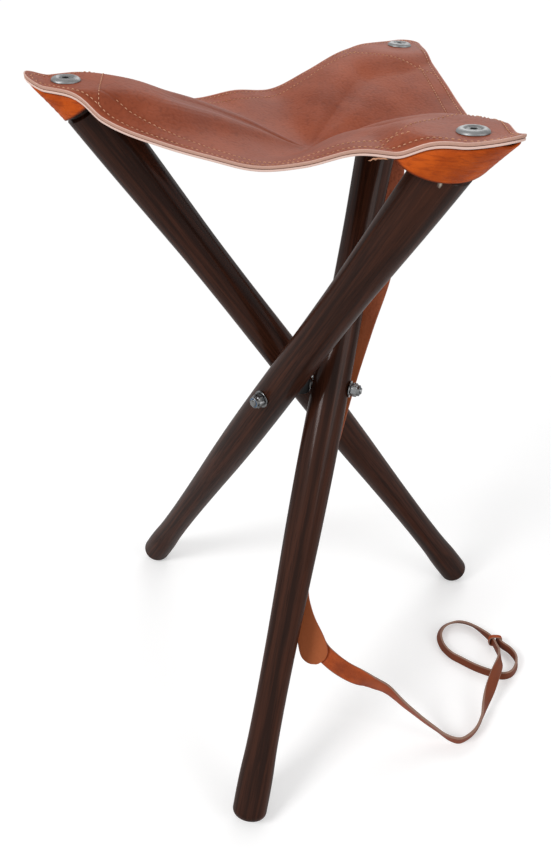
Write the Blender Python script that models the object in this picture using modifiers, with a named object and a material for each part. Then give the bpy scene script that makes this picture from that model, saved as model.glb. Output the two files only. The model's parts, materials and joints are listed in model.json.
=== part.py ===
"""Folding tripod stool: turned legs on a three-way bolt under a leather sling seat."""
import math

import bmesh
import bpy
import numpy as np
from mathutils import Matrix, Vector

MM = 0.001
NAMES = ("left", "right", "back")
GAP = 0.3 * MM

# Turned legs: stations run from the sawn top (0) to the foot (1), radii are shares of LEG_RADIUS
LEG_ABOVE_BOLT = 275.0 * MM
LEG_BELOW_BOLT = 362.0 * MM
LEG_LENGTH = LEG_ABOVE_BOLT + LEG_BELOW_BOLT
LEG_RADIUS = 15.4 * MM
LEG_STATIONS = (
    0.02, 0.05, 0.10, 0.16, 0.22, 0.29, 0.37, 0.45, 0.54, 0.62, 0.70, 0.78, 0.86, 0.91, 0.945, 0.97,
)
LEG_SHARES = (
    1.10, 1.09, 1.06, 1.00, 0.945, 0.935, 0.965, 1.00, 1.01, 0.97, 0.895, 0.835, 0.815, 0.845, 0.91, 0.925,
)
FOOT_RADIUS = 0.92 * LEG_RADIUS
FOOT_ROUND = 7.0 * MM
TOP_CUT = math.radians(34.5)
LEG_SIDES = 28

# How the legs stand on their bolts: swing from the bolt's own axis and heading of each top
SWING = {"left": math.radians(34.28), "right": math.radians(30.54), "back": math.radians(36.09)}
HEADING = {"left": math.radians(197.3), "right": math.radians(316.5), "back": math.radians(76.8)}

# Three-way bolt
STUD_RADIUS = 3.0 * MM
HUB_APOTHEM = 9.9 * MM
HUB_HEIGHT = 15.0 * MM
HUB_SOCKET = 7.0 * MM
WASHER_THICK = 1.0 * MM
INNER_WASHER_RADIUS = 5.4 * MM
OUTER_WASHER_RADIUS = 7.0 * MM
NUT_FLATS = 10.0 * MM
NUT_HEIGHT = 5.2 * MM
NUT_COLLAR = 2.2 * MM
NUT_COLLAR_RADIUS = 4.6 * MM
STUD_SHOW = 1.4 * MM

# Leather seat
PANEL_THICK = 1.8 * MM
LINING_THICK = 1.4 * MM
SEAT_STACK = PANEL_THICK + LINING_THICK + 2.0 * GAP
CORNER_SHIFT = {"left": (0.0, 4.0 * MM), "right": (1.0 * MM, 4.0 * MM), "back": (2.5 * MM, 4.0 * MM)}
TIP_REACH = {"left": 25.0 * MM, "right": 32.0 * MM, "back": 26.0 * MM}
TIP_RADIUS = 12.0 * MM
TIP_CURL = {"left": 5.0 * MM, "right": 5.0 * MM, "back": 0.5 * MM}
CURL_POWER = 1.35
CURL_EASE = 3.0 * MM
CENTRE_SAG = 44.0 * MM
RIDGE_POWER = {"left": 2.4, "right": 2.2, "back": 1.9}
VALLEY_POWER = 1.0
RIDGE_SPREAD = math.radians(29.0)
CENTRE_ROUND = 0.06
EDGE_SAMPLES = 480
FLAT_RADIUS = 20.0 * MM
FLAT_FADE = 18.0 * MM
FLAT_MORE = 35.0 * MM
SEAT_RINGS = (0.22, 0.40, 0.54, 0.65, 0.74, 0.82, 0.89, 0.945, 1.0)
SEAT_STEPS = 22

# Edges of the seat, each named for the corner it starts from on its way round by the front
EDGE_BOW = {"left": 9.0 * MM, "right": -15.0 * MM, "back": 4.0 * MM}
DROOP_AT = (0.0, 0.12, 0.22, 0.32, 0.42, 0.52, 0.62, 0.72, 0.82, 0.92, 1.0)
EDGE_DROOP = {
    "left": (0.0, 4.0, 16.0, 22.0, 25.5, 27.6, 21.5, 11.0, 9.0, 1.0, 0.0),
    "right": (0.0, 0.0, 5.0, 13.0, 20.0, 25.0, 21.0, 13.0, 6.0, 1.5, 0.0),
    "back": (0.0, 0.0, 4.5, 16.0, 26.0, 24.0, 26.5, 22.0, 10.5, 1.0, 0.0),
}

# Corner pockets and their fasteners
POCKET_SEAM = {"left": 0.155, "right": 0.205, "back": 0.172}
POCKET_SEAM_AT = (0.117, 0.262, 0.461, 0.708, 1.0)
POCKET_DROP = {"left": 12.0 * MM, "right": 16.0 * MM, "back": 15.0 * MM}
POCKET_GAP = 0.9 * MM
POCKET_WALL = 1.6 * MM
POCKET_EASE = 0.9 * MM
NECK_RADIUS = LEG_SHARES[0] * LEG_RADIUS - POCKET_WALL - POCKET_EASE
POCKET_COLUMNS = 17
POCKET_FOLD = 1.1
CUP_RADIUS = 9.4 * MM
CUP_HEIGHT = 2.8 * MM
SCREW_RADIUS = 3.0 * MM
SCREW_DEPTH = 12.0 * MM
SOCKET_FLATS = 4.0 * MM

# Carry strap on the back leg. Its route: millimetres across and behind the leg, then the share of the
# way from the upper screw to the lower one. Its end: the same, then millimetres below the lower screw.
STRAP_WIDTH = 16.5 * MM
STRAP_THICK = 2.2 * MM
STRAP_TOP_DROP = 53.0 * MM
STRAP_FIX_TOP = LEG_ABOVE_BOLT - STRAP_TOP_DROP
STRAP_FIX_LOW = -138.0 * MM
STRAP_TOP_TURN = math.radians(55.0)
STRAP_LOW_TURN = math.radians(84.0)
STRAP_ROUTE = (
    (14.5, 18.2, 0.081), (17.2, 18.6, 0.139), (20.0, 19.0, 0.233), (21.4, 19.4, 0.339),
    (15.2, 20.0, 0.461), (9.2, 20.4, 0.594), (5.0, 19.8, 0.733), (2.0, 18.0, 0.872),
)
STRAP_END = (
    (1.8, 16.6, 22.0), (4.8, 17.2, 40.0), (13.5, 18.0, 59.0), (22.5, 18.6, 76.5), (30.0, 18.9, 92.5),
)
STRAP_TAIL = 9.0 * MM
STRAP_HOLD_TOP = 5.0 * MM
STRAP_HOLD_LOW = 6.5 * MM
STRAP_TWIST_FROM = 4.0 * MM
STRAP_TWIST_RUN = 26.0 * MM
LOW_TWIST_FROM = 8.0 * MM
LOW_TWIST_RUN = 30.0 * MM
STRAP_END_ROUND = 4.0 * MM
TAB_WIDTH = 24.0 * MM
TAB_RUN = 14.0 * MM
TAB_FLARE = 30.0 * MM
TAB_TIP = 1.6 * MM
STRAP_POINTS = 56
STRAP_SCREW_RADIUS = 1.75 * MM
STRAP_SCREW_DEPTH = 9.0 * MM
STRAP_WASHER_RADIUS = 5.0 * MM

# Tie strap: leaves the tab, reaches the floor and closes in a loop; millimetres above the floor frame
TIE_WIDTH = 14.8 * MM
TIE_THICK = 2.2 * MM
TIE_TAPER = 0.61
TIE_TAPER_END = 0.64
TIE_TURN_AT = (
    0.0, 0.05, 0.08, 0.105, 0.14, 0.18, 0.22, 0.26, 0.31, 0.34, 0.38, 0.41, 0.44, 0.47,
    0.495, 0.52, 0.545, 0.565, 0.61, 0.65, 0.70, 0.74, 0.78, 0.90, 0.92, 0.935, 0.955, 1.0,
)
TIE_TURN = (
    47.0, 45.0, 30.0, 25.0, -13.0, -22.0, -29.0, -34.0, -32.0, -18.0, -9.0, 0.0, 31.0, 70.0,
    80.0, 52.0, 20.0, 3.0, 3.0, 35.0, 38.0, 19.0, 2.0, 2.0, 8.0, 10.0, 0.0, 0.0,
)
TIE_START = ((22.0, 21.0, -208.0), (31.0, 22.2, -219.0))
TIE_ROUTE = (
    (33.7, -119.0, 104.0), (44.7, -117.8, 92.0), (58.4, -113.5, 78.0), (72.5, -108.1, 64.0),
    (84.3, -105.5, 53.0), (103.2, -109.0, 35.0), (126.8, -114.6, 16.5), (143.7, -120.3, 8.0),
    (151.9, -120.7, 6.2), (160.7, -115.6, 6.0), (168.1, -108.0, 6.2), (174.0, -97.9, 7.5),
    (179.5, -84.1, 11.0), (185.9, -69.8, 15.5), (193.0, -53.9, 18.0), (200.4, -37.0, 16.0),
    (203.2, -23.1, 11.5), (202.6, -11.2, 8.0), (200.6, -1.1, 6.6), (194.6, 9.2, 5.4),
    (181.6, 21.5, 5.0), (169.0, 24.5, 5.0), (155.3, 18.4, 5.0), (148.2, 5.8, 5.0),
    (149.5, -8.9, 5.0), (156.6, -20.3, 5.0), (164.8, -26.4, 5.0), (178.3, -35.3, 5.0),
    (190.7, -41.0, 5.0), (203.5, -44.8, 5.0), (212.3, -41.6, 5.0), (219.0, -31.8, 5.0),
    (220.6, -22.6, 5.2), (216.5, -13.2, 5.8), (208.6, -5.4, 6.4), (205.6, 2.0, 6.6),
)
TIE_POINTS = 78
KEEPER_MID = (203.4, -1.2, 6.6)
KEEPER_INNER = (5.4, 5.2)
KEEPER_WALL = 1.4
KEEPER_LENGTH = 4.0

WOOD = ((0.050, 0.022, 0.014), 0.34, 0.0)
LEATHER = ((0.235, 0.080, 0.042), 0.52, 0.0)
LEATHER_BACK = ((0.300, 0.125, 0.070), 0.70, 0.0)
POCKET_HIDE = ((0.480, 0.135, 0.015), 0.55, 0.0)
STRAP_HIDE = ((0.260, 0.095, 0.055), 0.55, 0.0)
TIE_HIDE = ((0.330, 0.110, 0.035), 0.60, 0.0)
STEEL = ((0.560, 0.560, 0.550), 0.30, 1.0)
DARK_STEEL = ((0.130, 0.130, 0.135), 0.40, 1.0)
NYLON = ((0.120, 0.240, 0.420), 0.45, 0.0)


def clear_scene():
    """Remove every object, so the script can run in any file."""
    for item in list(bpy.data.objects):
        bpy.data.objects.remove(item, do_unlink=True)


def collection(name):
    """A fresh collection in the scene."""
    group = bpy.data.collections.new(name)
    bpy.context.scene.collection.children.link(group)
    return group


def material(name, look):
    """Principled material of one colour, roughness and metallic value."""
    colour, rough, metal = look
    item = bpy.data.materials.new(name)
    item.use_nodes = True
    shader = item.node_tree.nodes["Principled BSDF"]
    shader.inputs["Base Color"].default_value = (*colour, 1.0)
    shader.inputs["Roughness"].default_value = rough
    shader.inputs["Metallic"].default_value = metal
    item.diffuse_color = (*colour, 1.0)
    return item


def empty(name, parent, matrix):
    """An axis frame that parts hang from."""
    item = bpy.data.objects.new(name, None)
    PARTS.objects.link(item)
    item.parent = parent
    item.matrix_basis = matrix
    return item


def place(item, parent, look, matrix=None):
    """Put a part in the assembly and give it its own material."""
    PARTS.objects.link(item)
    item.parent = parent
    if matrix is not None:
        item.matrix_basis = matrix
    item.data.materials.append(material(item.name, look))
    return item


def solid(name, points, faces):
    """Mesh object from points and faces, with its faces turned outward."""
    mesh = bpy.data.meshes.new(name)
    mesh.from_pydata([tuple(map(float, p)) for p in points], [], faces)
    work = bmesh.new()
    work.from_mesh(mesh)
    bmesh.ops.recalc_face_normals(work, faces=work.faces[:])
    work.to_mesh(mesh)
    work.free()
    return bpy.data.objects.new(name, mesh)


def lathe(name, profile, steps=LEG_SIDES, ring=False):
    """Profile of (radius, height) pairs turned about Z; a ring profile closes on itself."""
    mesh = bpy.data.meshes.new(name)
    count = len(profile)
    edges = [(i, i + 1) for i in range(count - 1)]
    if ring:
        edges.append((count - 1, 0))
    mesh.from_pydata([(r, 0.0, z) for r, z in profile], edges, [])
    item = bpy.data.objects.new(name, mesh)
    turn = item.modifiers.new("Turn", "SCREW")
    turn.axis = "Z"
    turn.steps = steps
    turn.render_steps = steps
    turn.use_merge_vertices = True
    turn.merge_threshold = 0.00001
    turn.use_smooth_shade = True
    return item


def cutter(name, points, faces, parent, matrix=None):
    """A hidden solid that cuts a part."""
    item = solid(name, points, faces)
    CUTTERS.objects.link(item)
    item.parent = parent
    if matrix is not None:
        item.matrix_basis = matrix
    item.hide_render = True
    item.display_type = "WIRE"
    return item


def cut(item, tool):
    """Take a cutter out of a part."""
    step = item.modifiers.new("Cut", "BOOLEAN")
    step.operation = "DIFFERENCE"
    step.solver = "EXACT"
    step.object = tool


def prism(sides, radius, low, high, turn=0.0):
    """Points and faces of an upright prism."""
    angles = [turn + 2.0 * math.pi * i / sides for i in range(sides)]
    ring = [(radius * math.cos(a), radius * math.sin(a)) for a in angles]
    points = [(x, y, low) for x, y in ring] + [(x, y, high) for x, y in ring]
    faces = [tuple(range(sides))[::-1], tuple(range(sides, 2 * sides))]
    faces += [(i, (i + 1) % sides, sides + (i + 1) % sides, sides + i) for i in range(sides)]
    return points, faces


def hex_radius(flats):
    """Corner radius of a hexagon across the given flats."""
    return flats / math.sqrt(3.0)


def grid_faces(rows, columns, closed):
    """Quads of a grid of points, closed around its columns or not."""
    faces = []
    last = columns if closed else columns - 1
    for i in range(rows - 1):
        for j in range(last):
            k = (j + 1) % columns
            low = i * columns
            high = low + columns
            faces.append((low + j, low + k, high + k, high + j))
    return faces


def smooth_route(points, count):
    """Even samples of a centripetal curve through the route points."""
    p = np.asarray(points, dtype=float)
    p = np.vstack([2.0 * p[0] - p[1], p, 2.0 * p[-1] - p[-2]])
    fine = []
    for i in range(1, len(p) - 2):
        a, b, c, d = p[i - 1], p[i], p[i + 1], p[i + 2]
        t0 = 0.0
        t1 = t0 + math.sqrt(np.linalg.norm(b - a))
        t2 = t1 + math.sqrt(np.linalg.norm(c - b))
        t3 = t2 + math.sqrt(np.linalg.norm(d - c))
        t = np.linspace(t1, t2, 24, endpoint=i == len(p) - 3)[:, None]
        ab = (t1 - t) / (t1 - t0) * a + (t - t0) / (t1 - t0) * b
        bc = (t2 - t) / (t2 - t1) * b + (t - t1) / (t2 - t1) * c
        cd = (t3 - t) / (t3 - t2) * c + (t - t2) / (t3 - t2) * d
        left = (t2 - t) / (t2 - t0) * ab + (t - t0) / (t2 - t0) * bc
        right = (t3 - t) / (t3 - t1) * bc + (t - t1) / (t3 - t1) * cd
        fine.append((t2 - t) / (t2 - t1) * left + (t - t1) / (t2 - t1) * right)
    fine = np.vstack(fine)
    along = np.concatenate([[0.0], np.cumsum(np.linalg.norm(np.diff(fine, axis=0), axis=1))])
    want = np.linspace(0.0, along[-1], count)
    return np.stack([np.interp(want, along, fine[:, i]) for i in range(3)], axis=1)


def leg_radius(station):
    """Radius of the turned leg at a share of its length from the top."""
    return float(np.interp(station, LEG_STATIONS, LEG_SHARES)) * LEG_RADIUS


BOLT_STATION = LEG_ABOVE_BOLT / LEG_LENGTH
BOLT_RADIUS = leg_radius(BOLT_STATION)
BOLT_REACH = HUB_APOTHEM + WASHER_THICK + 2.0 * GAP + BOLT_RADIUS


def leg_frame(name):
    """Frame of a leg in the bolt's frame: X along its stud, Z up the leg, origin on the stud."""
    heading = HEADING[name]
    swing = SWING[name]
    radial = Vector((math.cos(heading), math.sin(heading), 0.0))
    stud = Vector((math.sin(heading), -math.cos(heading), 0.0))
    up = Vector((0.0, 0.0, 1.0))
    along = math.sin(swing) * radial + math.cos(swing) * up
    under = math.cos(swing) * radial - math.sin(swing) * up
    frame = Matrix.Identity(4)
    for row in range(3):
        frame[row][0] = stud[row]
        frame[row][1] = under[row]
        frame[row][2] = along[row]
        frame[row][3] = stud[row] * BOLT_REACH
    return frame


FRAMES = {name: leg_frame(name) for name in NAMES}


def standing_frame():
    """Turn and lift the bolt's frame until all three feet touch the floor."""
    normal = Vector((0.0, 0.0, 1.0))
    centres = []
    for _ in range(6):
        centres = []
        for name in NAMES:
            frame = FRAMES[name]
            along = frame.col[2].to_3d()
            foot = frame @ Vector((0.0, 0.0, FOOT_ROUND - LEG_BELOW_BOLT))
            down = (along * normal.dot(along) - normal).normalized()
            centres.append(foot + down * (FOOT_RADIUS - FOOT_ROUND))
        normal = (centres[1] - centres[0]).cross(centres[2] - centres[0]).normalized()
        if normal.z < 0.0:
            normal.negate()
    turn = normal.rotation_difference(Vector((0.0, 0.0, 1.0))).to_matrix().to_4x4()
    lift = FOOT_ROUND - centres[0].dot(normal)
    return Matrix.Translation((0.0, 0.0, lift)) @ turn


def to_array(vector):
    """Vector as a numpy row."""
    return np.array(tuple(vector), dtype=float)


def corner_matrix(name):
    """Frame of a corner fastener in its leg's frame: origin on the sawn top, Z out of it."""
    top = Matrix.Translation((0.0, 0.0, LEG_ABOVE_BOLT)) @ Matrix.Rotation(TOP_CUT, 4, "X")
    return top @ Matrix.Translation((*CORNER_SHIFT[name], 0.0))


FLAP_NORMAL = Vector((0.0, -math.sin(TOP_CUT), math.cos(TOP_CUT)))
TOPS = [to_array(FRAMES[n] @ corner_matrix(n).translation) for n in NAMES]
ENDS = [to_array(FRAMES[n] @ Vector((0.0, 0.0, LEG_ABOVE_BOLT))) for n in NAMES]
NORMALS = [to_array(FRAMES[n].to_3x3() @ FLAP_NORMAL) for n in NAMES]
CENTRE = sum(TOPS) / 3.0 - np.array([0.0, 0.0, CENTRE_SAG - SEAT_STACK])


def inward(k):
    """Plan direction from corner k to the middle of the seat."""
    to_a = TOPS[(k + 1) % 3][:2] - TOPS[k][:2]
    to_b = TOPS[(k + 2) % 3][:2] - TOPS[k][:2]
    way = to_a / np.linalg.norm(to_a) + to_b / np.linalg.norm(to_b)
    return way / np.linalg.norm(way)


INWARD = [inward(k) for k in range(3)]


def flap_height(k, x, y):
    """Height of the corner of the seat over one leg top: flat on the wood, its tip curled up."""
    n = NORMALS[k]
    p = TOPS[k] + n * SEAT_STACK
    reach = -(INWARD[k][0] * (x - p[0]) + INWARD[k][1] * (y - p[1]))
    flat = CUP_RADIUS + CURL_EASE
    curl = np.clip((reach - flat) / (TIP_REACH[NAMES[k]] - flat), 0.0, 1.2) ** CURL_POWER
    return p[2] - (n[0] * (x - p[0]) + n[1] * (y - p[1])) / n[2] + TIP_CURL[NAMES[k]] * curl


def leg_distance(k, plan):
    """Distance of plan points on the sawn top from the axis of leg k, square to the leg."""
    away = plan - ENDS[k][:2]
    heading = HEADING[NAMES[k]]
    across = away[..., 0] * math.sin(heading) - away[..., 1] * math.cos(heading)
    radial = away[..., 0] * math.cos(heading) + away[..., 1] * math.sin(heading)
    return np.hypot(across, radial * math.cos(TOP_CUT))


def smoothstep(x):
    """Cubic ease from 0 to 1."""
    x = np.clip(x, 0.0, 1.0)
    return x * x * (3.0 - 2.0 * x)


def through(x, places, values):
    """Smooth curve through values at the given places."""
    places = np.array(places)
    values = np.array(values)
    slopes = np.gradient(values, places)
    i = np.clip(np.searchsorted(places, x) - 1, 0, len(places) - 2)
    width = places[i + 1] - places[i]
    t = (x - places[i]) / width
    start = (1.0 + 2.0 * t) * (1.0 - t) ** 2 * values[i] + t * (1.0 - t) ** 2 * width * slopes[i]
    return start + t * t * (3.0 - 2.0 * t) * values[i + 1] - t * t * (1.0 - t) * width * slopes[i + 1]


def outline_piece(k):
    """Plan of the seat's edge from tip k to the next tip: share of its length, x and y."""
    mids = []
    tips = []
    for i in range(3):
        mids.append(TOPS[i][:2] - INWARD[i] * (TIP_REACH[NAMES[i]] - TIP_RADIUS))
        tips.append(math.atan2(-INWARD[i][1], -INWARD[i][0]))
    j = (k + 1) % 3
    run = mids[j] - mids[k]
    run /= np.linalg.norm(run)
    out = np.array([run[1], -run[0]])
    side = math.atan2(out[1], out[0])
    first = tips[k] + np.linspace(0.0, 1.0, 14)[:, None] * ((side - tips[k]) % (2.0 * math.pi))
    last = side + np.linspace(0.0, 1.0, 14)[:, None] * ((tips[j] - side) % (2.0 * math.pi))
    u = np.linspace(0.0, 1.0, 62)[1:-1, None]
    bow = EDGE_BOW[NAMES[k]] * np.sin(math.pi * u) ** 2
    edge = mids[k] + u * (mids[j] - mids[k]) + out * (TIP_RADIUS - bow)
    arc_a = mids[k] + TIP_RADIUS * np.hstack([np.cos(first), np.sin(first)])
    arc_b = mids[j] + TIP_RADIUS * np.hstack([np.cos(last), np.sin(last)])
    path = np.vstack([arc_a, edge, arc_b])
    along = np.concatenate([[0.0], np.cumsum(np.linalg.norm(np.diff(path, axis=0), axis=1))])
    return along, path


PIECES = [outline_piece(k) for k in range(3)]


def outline(q):
    """Edge of the seat at q: whole numbers are the tips, halves the middles of the edges."""
    q = np.asarray(q, dtype=float) % 3.0
    k = np.minimum(q.astype(int), 2)
    share = q - k
    point = np.zeros(q.shape + (3,))
    for i in range(3):
        pick = k == i
        f = share[pick]
        along, path = PIECES[i]
        x = np.interp(f * along[-1], along, path[:, 0])
        y = np.interp(f * along[-1], along, path[:, 1])
        mix = smoothstep((f - 0.2) / 0.6)
        z = flap_height(i, x, y) * (1.0 - mix) + flap_height((i + 1) % 3, x, y) * mix
        z = z - through(f, DROOP_AT, EDGE_DROOP[NAMES[i]]) * MM
        point[pick] = np.stack([x, y, z], axis=-1)
    return point


def rim_table():
    """Places round the seat's edge, with their angles about its middle and their heights."""
    q = np.linspace(0.0, 3.0, 3 * EDGE_SAMPLES + 1)
    rim = outline(np.minimum(q, 3.0 - 1e-6))
    angle = np.unwrap(np.arctan2(rim[:, 1] - CENTRE[1], rim[:, 0] - CENTRE[0]))
    return q, angle, rim[:, 2]


RIM_Q, RIM_ANGLE, RIM_HEIGHT = rim_table()
TIP_ANGLE = RIM_ANGLE[::EDGE_SAMPLES]


def soft_rim(angle, spread):
    """Height of the edge averaged over a spread of angles, which widens the ridges inside the seat."""
    offsets = np.linspace(-1.0, 1.0, 13)
    weights = np.cos(0.475 * math.pi * offsets) ** 2
    total = np.zeros_like(angle)
    for offset, weight in zip(offsets, weights / weights.sum()):
        around = (angle + spread * offset - RIM_ANGLE[0]) % (2.0 * math.pi)
        total = total + weight * np.interp(RIM_ANGLE[0] + around, RIM_ANGLE, RIM_HEIGHT)
    return total


def seat_top(r, q):
    """Top of the leather at share r of the way from the middle to the edge at q.

    A ridge runs from each corner to the low middle, z = low + (rim - low) (1 - (1 - r) ** power), with
    a high power on the ridges and a low one in the valleys, and lies flat on each leg top."""
    r, q = np.broadcast_arrays(np.asarray(r, dtype=float), np.asarray(q, dtype=float) % 3.0)
    rim = outline(q)
    plan = CENTRE[:2] + r[..., None] * (rim[..., :2] - CENTRE[:2])
    angle = np.interp(q, RIM_Q, RIM_ANGLE)
    k = np.minimum(q.astype(int), 2)
    part = (angle - TIP_ANGLE[k]) / (TIP_ANGLE[k + 1] - TIP_ANGLE[k])
    ridge = np.array([RIDGE_POWER[name] for name in NAMES])[np.round(k + part).astype(int) % 3]
    power = VALLEY_POWER + (ridge - VALLEY_POWER) * np.cos(math.pi * part) ** 2
    out = (np.hypot(r, CENTRE_ROUND) - CENTRE_ROUND) / (math.hypot(1.0, CENTRE_ROUND) - CENTRE_ROUND)
    rise = soft_rim(angle, RIDGE_SPREAD * (1.0 - r) ** 0.6) - CENTRE[2]
    z = CENTRE[2] + rise * (1.0 - (1.0 - out) ** power)
    for i in range(3):
        fade = FLAT_FADE + FLAT_MORE * (1.0 - r)
        hold = 1.0 - smoothstep((leg_distance(i, plan) - FLAT_RADIUS) / fade)
        z = z * (1.0 - hold) + flap_height(i, plan[..., 0], plan[..., 1]) * hold
    return np.concatenate([plan, z[..., None]], axis=-1)


def edge_shares():
    """Steps along one edge of the seat, close together at the tips."""
    return 0.5 - 0.5 * np.cos(np.linspace(0.0, math.pi, SEAT_STEPS + 1)[:-1])


def seat_layer(name, low, high):
    """One layer of the seat between two depths under its top."""
    q = np.concatenate([edge_shares() + k for k in range(3)])
    r = np.array(SEAT_RINGS)
    top = seat_top(r[:, None], q[None, :]).reshape(-1, 3)
    middle = seat_top(np.zeros(1), np.zeros(1))
    surface = np.vstack([top, middle])
    count = len(surface)
    around = len(q)
    points = np.vstack([surface - [0.0, 0.0, high], surface - [0.0, 0.0, low]])
    upper = []
    for a, b, c, d in grid_faces(len(r), around, True):
        upper += [(a, b, c), (a, c, d)]
    upper += [(count - 1, j, (j + 1) % around) for j in range(around)]
    faces = upper + [tuple(i + count for i in f[::-1]) for f in upper]
    outer = (len(r) - 1) * around
    for j in range(around):
        k = (j + 1) % around
        faces.append((outer + j, outer + k, count + outer + k, count + outer + j))
    return solid(name, points, faces)


def build_leg(name, base):
    """Turned leg with its sawn top, stud hole and screw hole."""
    head = LEG_ABOVE_BOLT + 3.0 * LEG_RADIUS
    shoulder = LEG_ABOVE_BOLT - POCKET_DROP[name] - POCKET_WALL
    profile = [(0.0, head), (NECK_RADIUS, head), (NECK_RADIUS, shoulder)]
    profile.append((LEG_SHARES[0] * LEG_RADIUS, shoulder - POCKET_WALL))
    for station, share in zip(LEG_STATIONS, LEG_SHARES):
        height = LEG_ABOVE_BOLT - station * LEG_LENGTH
        if height < profile[-1][1] - POCKET_WALL:
            profile.append((share * LEG_RADIUS, height))
    for i in range(7):
        a = 0.5 * math.pi * i / 6
        radius = FOOT_RADIUS - FOOT_ROUND * (1.0 - math.cos(a))
        profile.append((radius, FOOT_ROUND * (1.0 - math.sin(a)) - LEG_BELOW_BOLT))
    profile.append((0.0, -LEG_BELOW_BOLT))
    leg = place(lathe("leg_" + name, profile), base, WOOD)
    box = prism(4, 6.0 * LEG_RADIUS, 0.0, 4.0 * LEG_RADIUS, math.pi / 4.0)
    cut(leg, cutter("saw_" + name, *box, base, corner_matrix(name)))
    bore = prism(20, STUD_RADIUS + GAP, -2.0 * LEG_RADIUS, 2.0 * LEG_RADIUS)
    cut(leg, cutter("bore_" + name, *bore, base, Matrix.Rotation(math.pi / 2.0, 4, "Y")))
    pilot = prism(20, SCREW_RADIUS + GAP, -SCREW_DEPTH - 1.5 * MM, LEG_RADIUS)
    cut(leg, cutter("pilot_" + name, *pilot, base, corner_matrix(name)))
    return leg


def build_corner(name, base):
    """Cup washer and socket screw that hold the seat on a leg."""
    spot = empty("corner_" + name, base, corner_matrix(name))
    low = SEAT_STACK + GAP
    top = low + CUP_HEIGHT
    bore = SCREW_RADIUS + 2.0 * GAP
    cup = [
        (0.60 * CUP_RADIUS, top), (0.68 * CUP_RADIUS, top),
        (0.78 * CUP_RADIUS, top - 0.12 * CUP_HEIGHT), (0.92 * CUP_RADIUS, low + 0.42 * CUP_HEIGHT),
        (CUP_RADIUS, low + 0.16 * CUP_HEIGHT), (CUP_RADIUS, low),
        (bore, low), (bore, low + 0.10 * CUP_HEIGHT),
    ]
    place(lathe("cup_washer_" + name, cup, 30, ring=True), spot, STEEL)
    slope = (0.60 * CUP_RADIUS - bore) / (0.90 * CUP_HEIGHT)
    inset = GAP * math.sqrt(1.0 + slope * slope) + 0.05 * MM
    rim = 0.60 * CUP_RADIUS - inset
    neck = SCREW_RADIUS
    head_low = top - (rim - neck) / slope
    screw = [
        (0.0, top + 0.7 * MM), (0.45 * rim, top + 0.6 * MM), (0.85 * rim, top + 0.3 * MM), (rim, top),
        (neck, head_low), (neck, -SCREW_DEPTH + 2.0 * MM), (0.6 * neck, -SCREW_DEPTH), (0.0, -SCREW_DEPTH),
    ]
    item = place(lathe("corner_screw_" + name, screw, 24), spot, STEEL)
    key = prism(6, hex_radius(SOCKET_FLATS), top - 1.6 * MM, top + 3.0 * MM)
    cut(item, cutter("key_" + name, *key, spot))


def build_pocket(k, name, base):
    """Leather pouch under a corner of the seat that takes the end of the leg."""
    frame = FRAMES[name]
    reach = NECK_RADIUS + POCKET_WALL + POCKET_EASE
    lowest = to_array(frame @ Vector((0.0, reach, LEG_ABOVE_BOLT - POCKET_DROP[name])))
    seams = POCKET_SEAM[name] * np.array(POCKET_SEAM_AT)
    share = seams / seams[-1]
    depth = SEAT_STACK + POCKET_GAP
    ends = []
    for side in (-1.0, 1.0):
        q = (k + side * seams) % 3.0
        rim = outline(q)
        inset = 1.0 - 2.2 * MM / np.linalg.norm(rim[:, :2] - CENTRE[:2], axis=1)
        ends.append(seat_top(inset, q) - [0.0, 0.0, depth])
    tip = outline(np.array([float(k)]))[0] - [0.0, 0.0, depth]
    phi = np.linspace(0.0, math.pi, POCKET_COLUMNS)[None, :, None]
    middle = 0.5 * (ends[0] + ends[1])[:, None, :]
    half = 0.5 * (ends[0] - ends[1])[:, None, :]
    bottom = tip + share[:, None] * (lowest - tip)
    across = np.sign(np.cos(phi)) * np.abs(np.cos(phi)) ** POCKET_FOLD
    points = middle + half * across + (bottom[:, None, :] - middle) * np.sin(phi) ** POCKET_FOLD
    local = np.array(frame.inverted())
    flat = points.reshape(-1, 3) @ local[:3, :3].T + local[:3, 3]
    item = solid("corner_pocket_" + name, flat, grid_faces(len(seams), POCKET_COLUMNS, False))
    mesh = item.data
    centre = flat.mean(axis=0)
    face = mesh.polygons[len(mesh.polygons) // 2]
    if face.normal.dot(face.center - Vector(centre)) < 0.0:
        mesh.flip_normals()
    wall = item.modifiers.new("Wall", "SOLIDIFY")
    wall.thickness = POCKET_WALL
    wall.offset = -1.0
    wall.use_even_offset = True
    wall.use_rim = True
    place(item, base, POCKET_HIDE)


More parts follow.
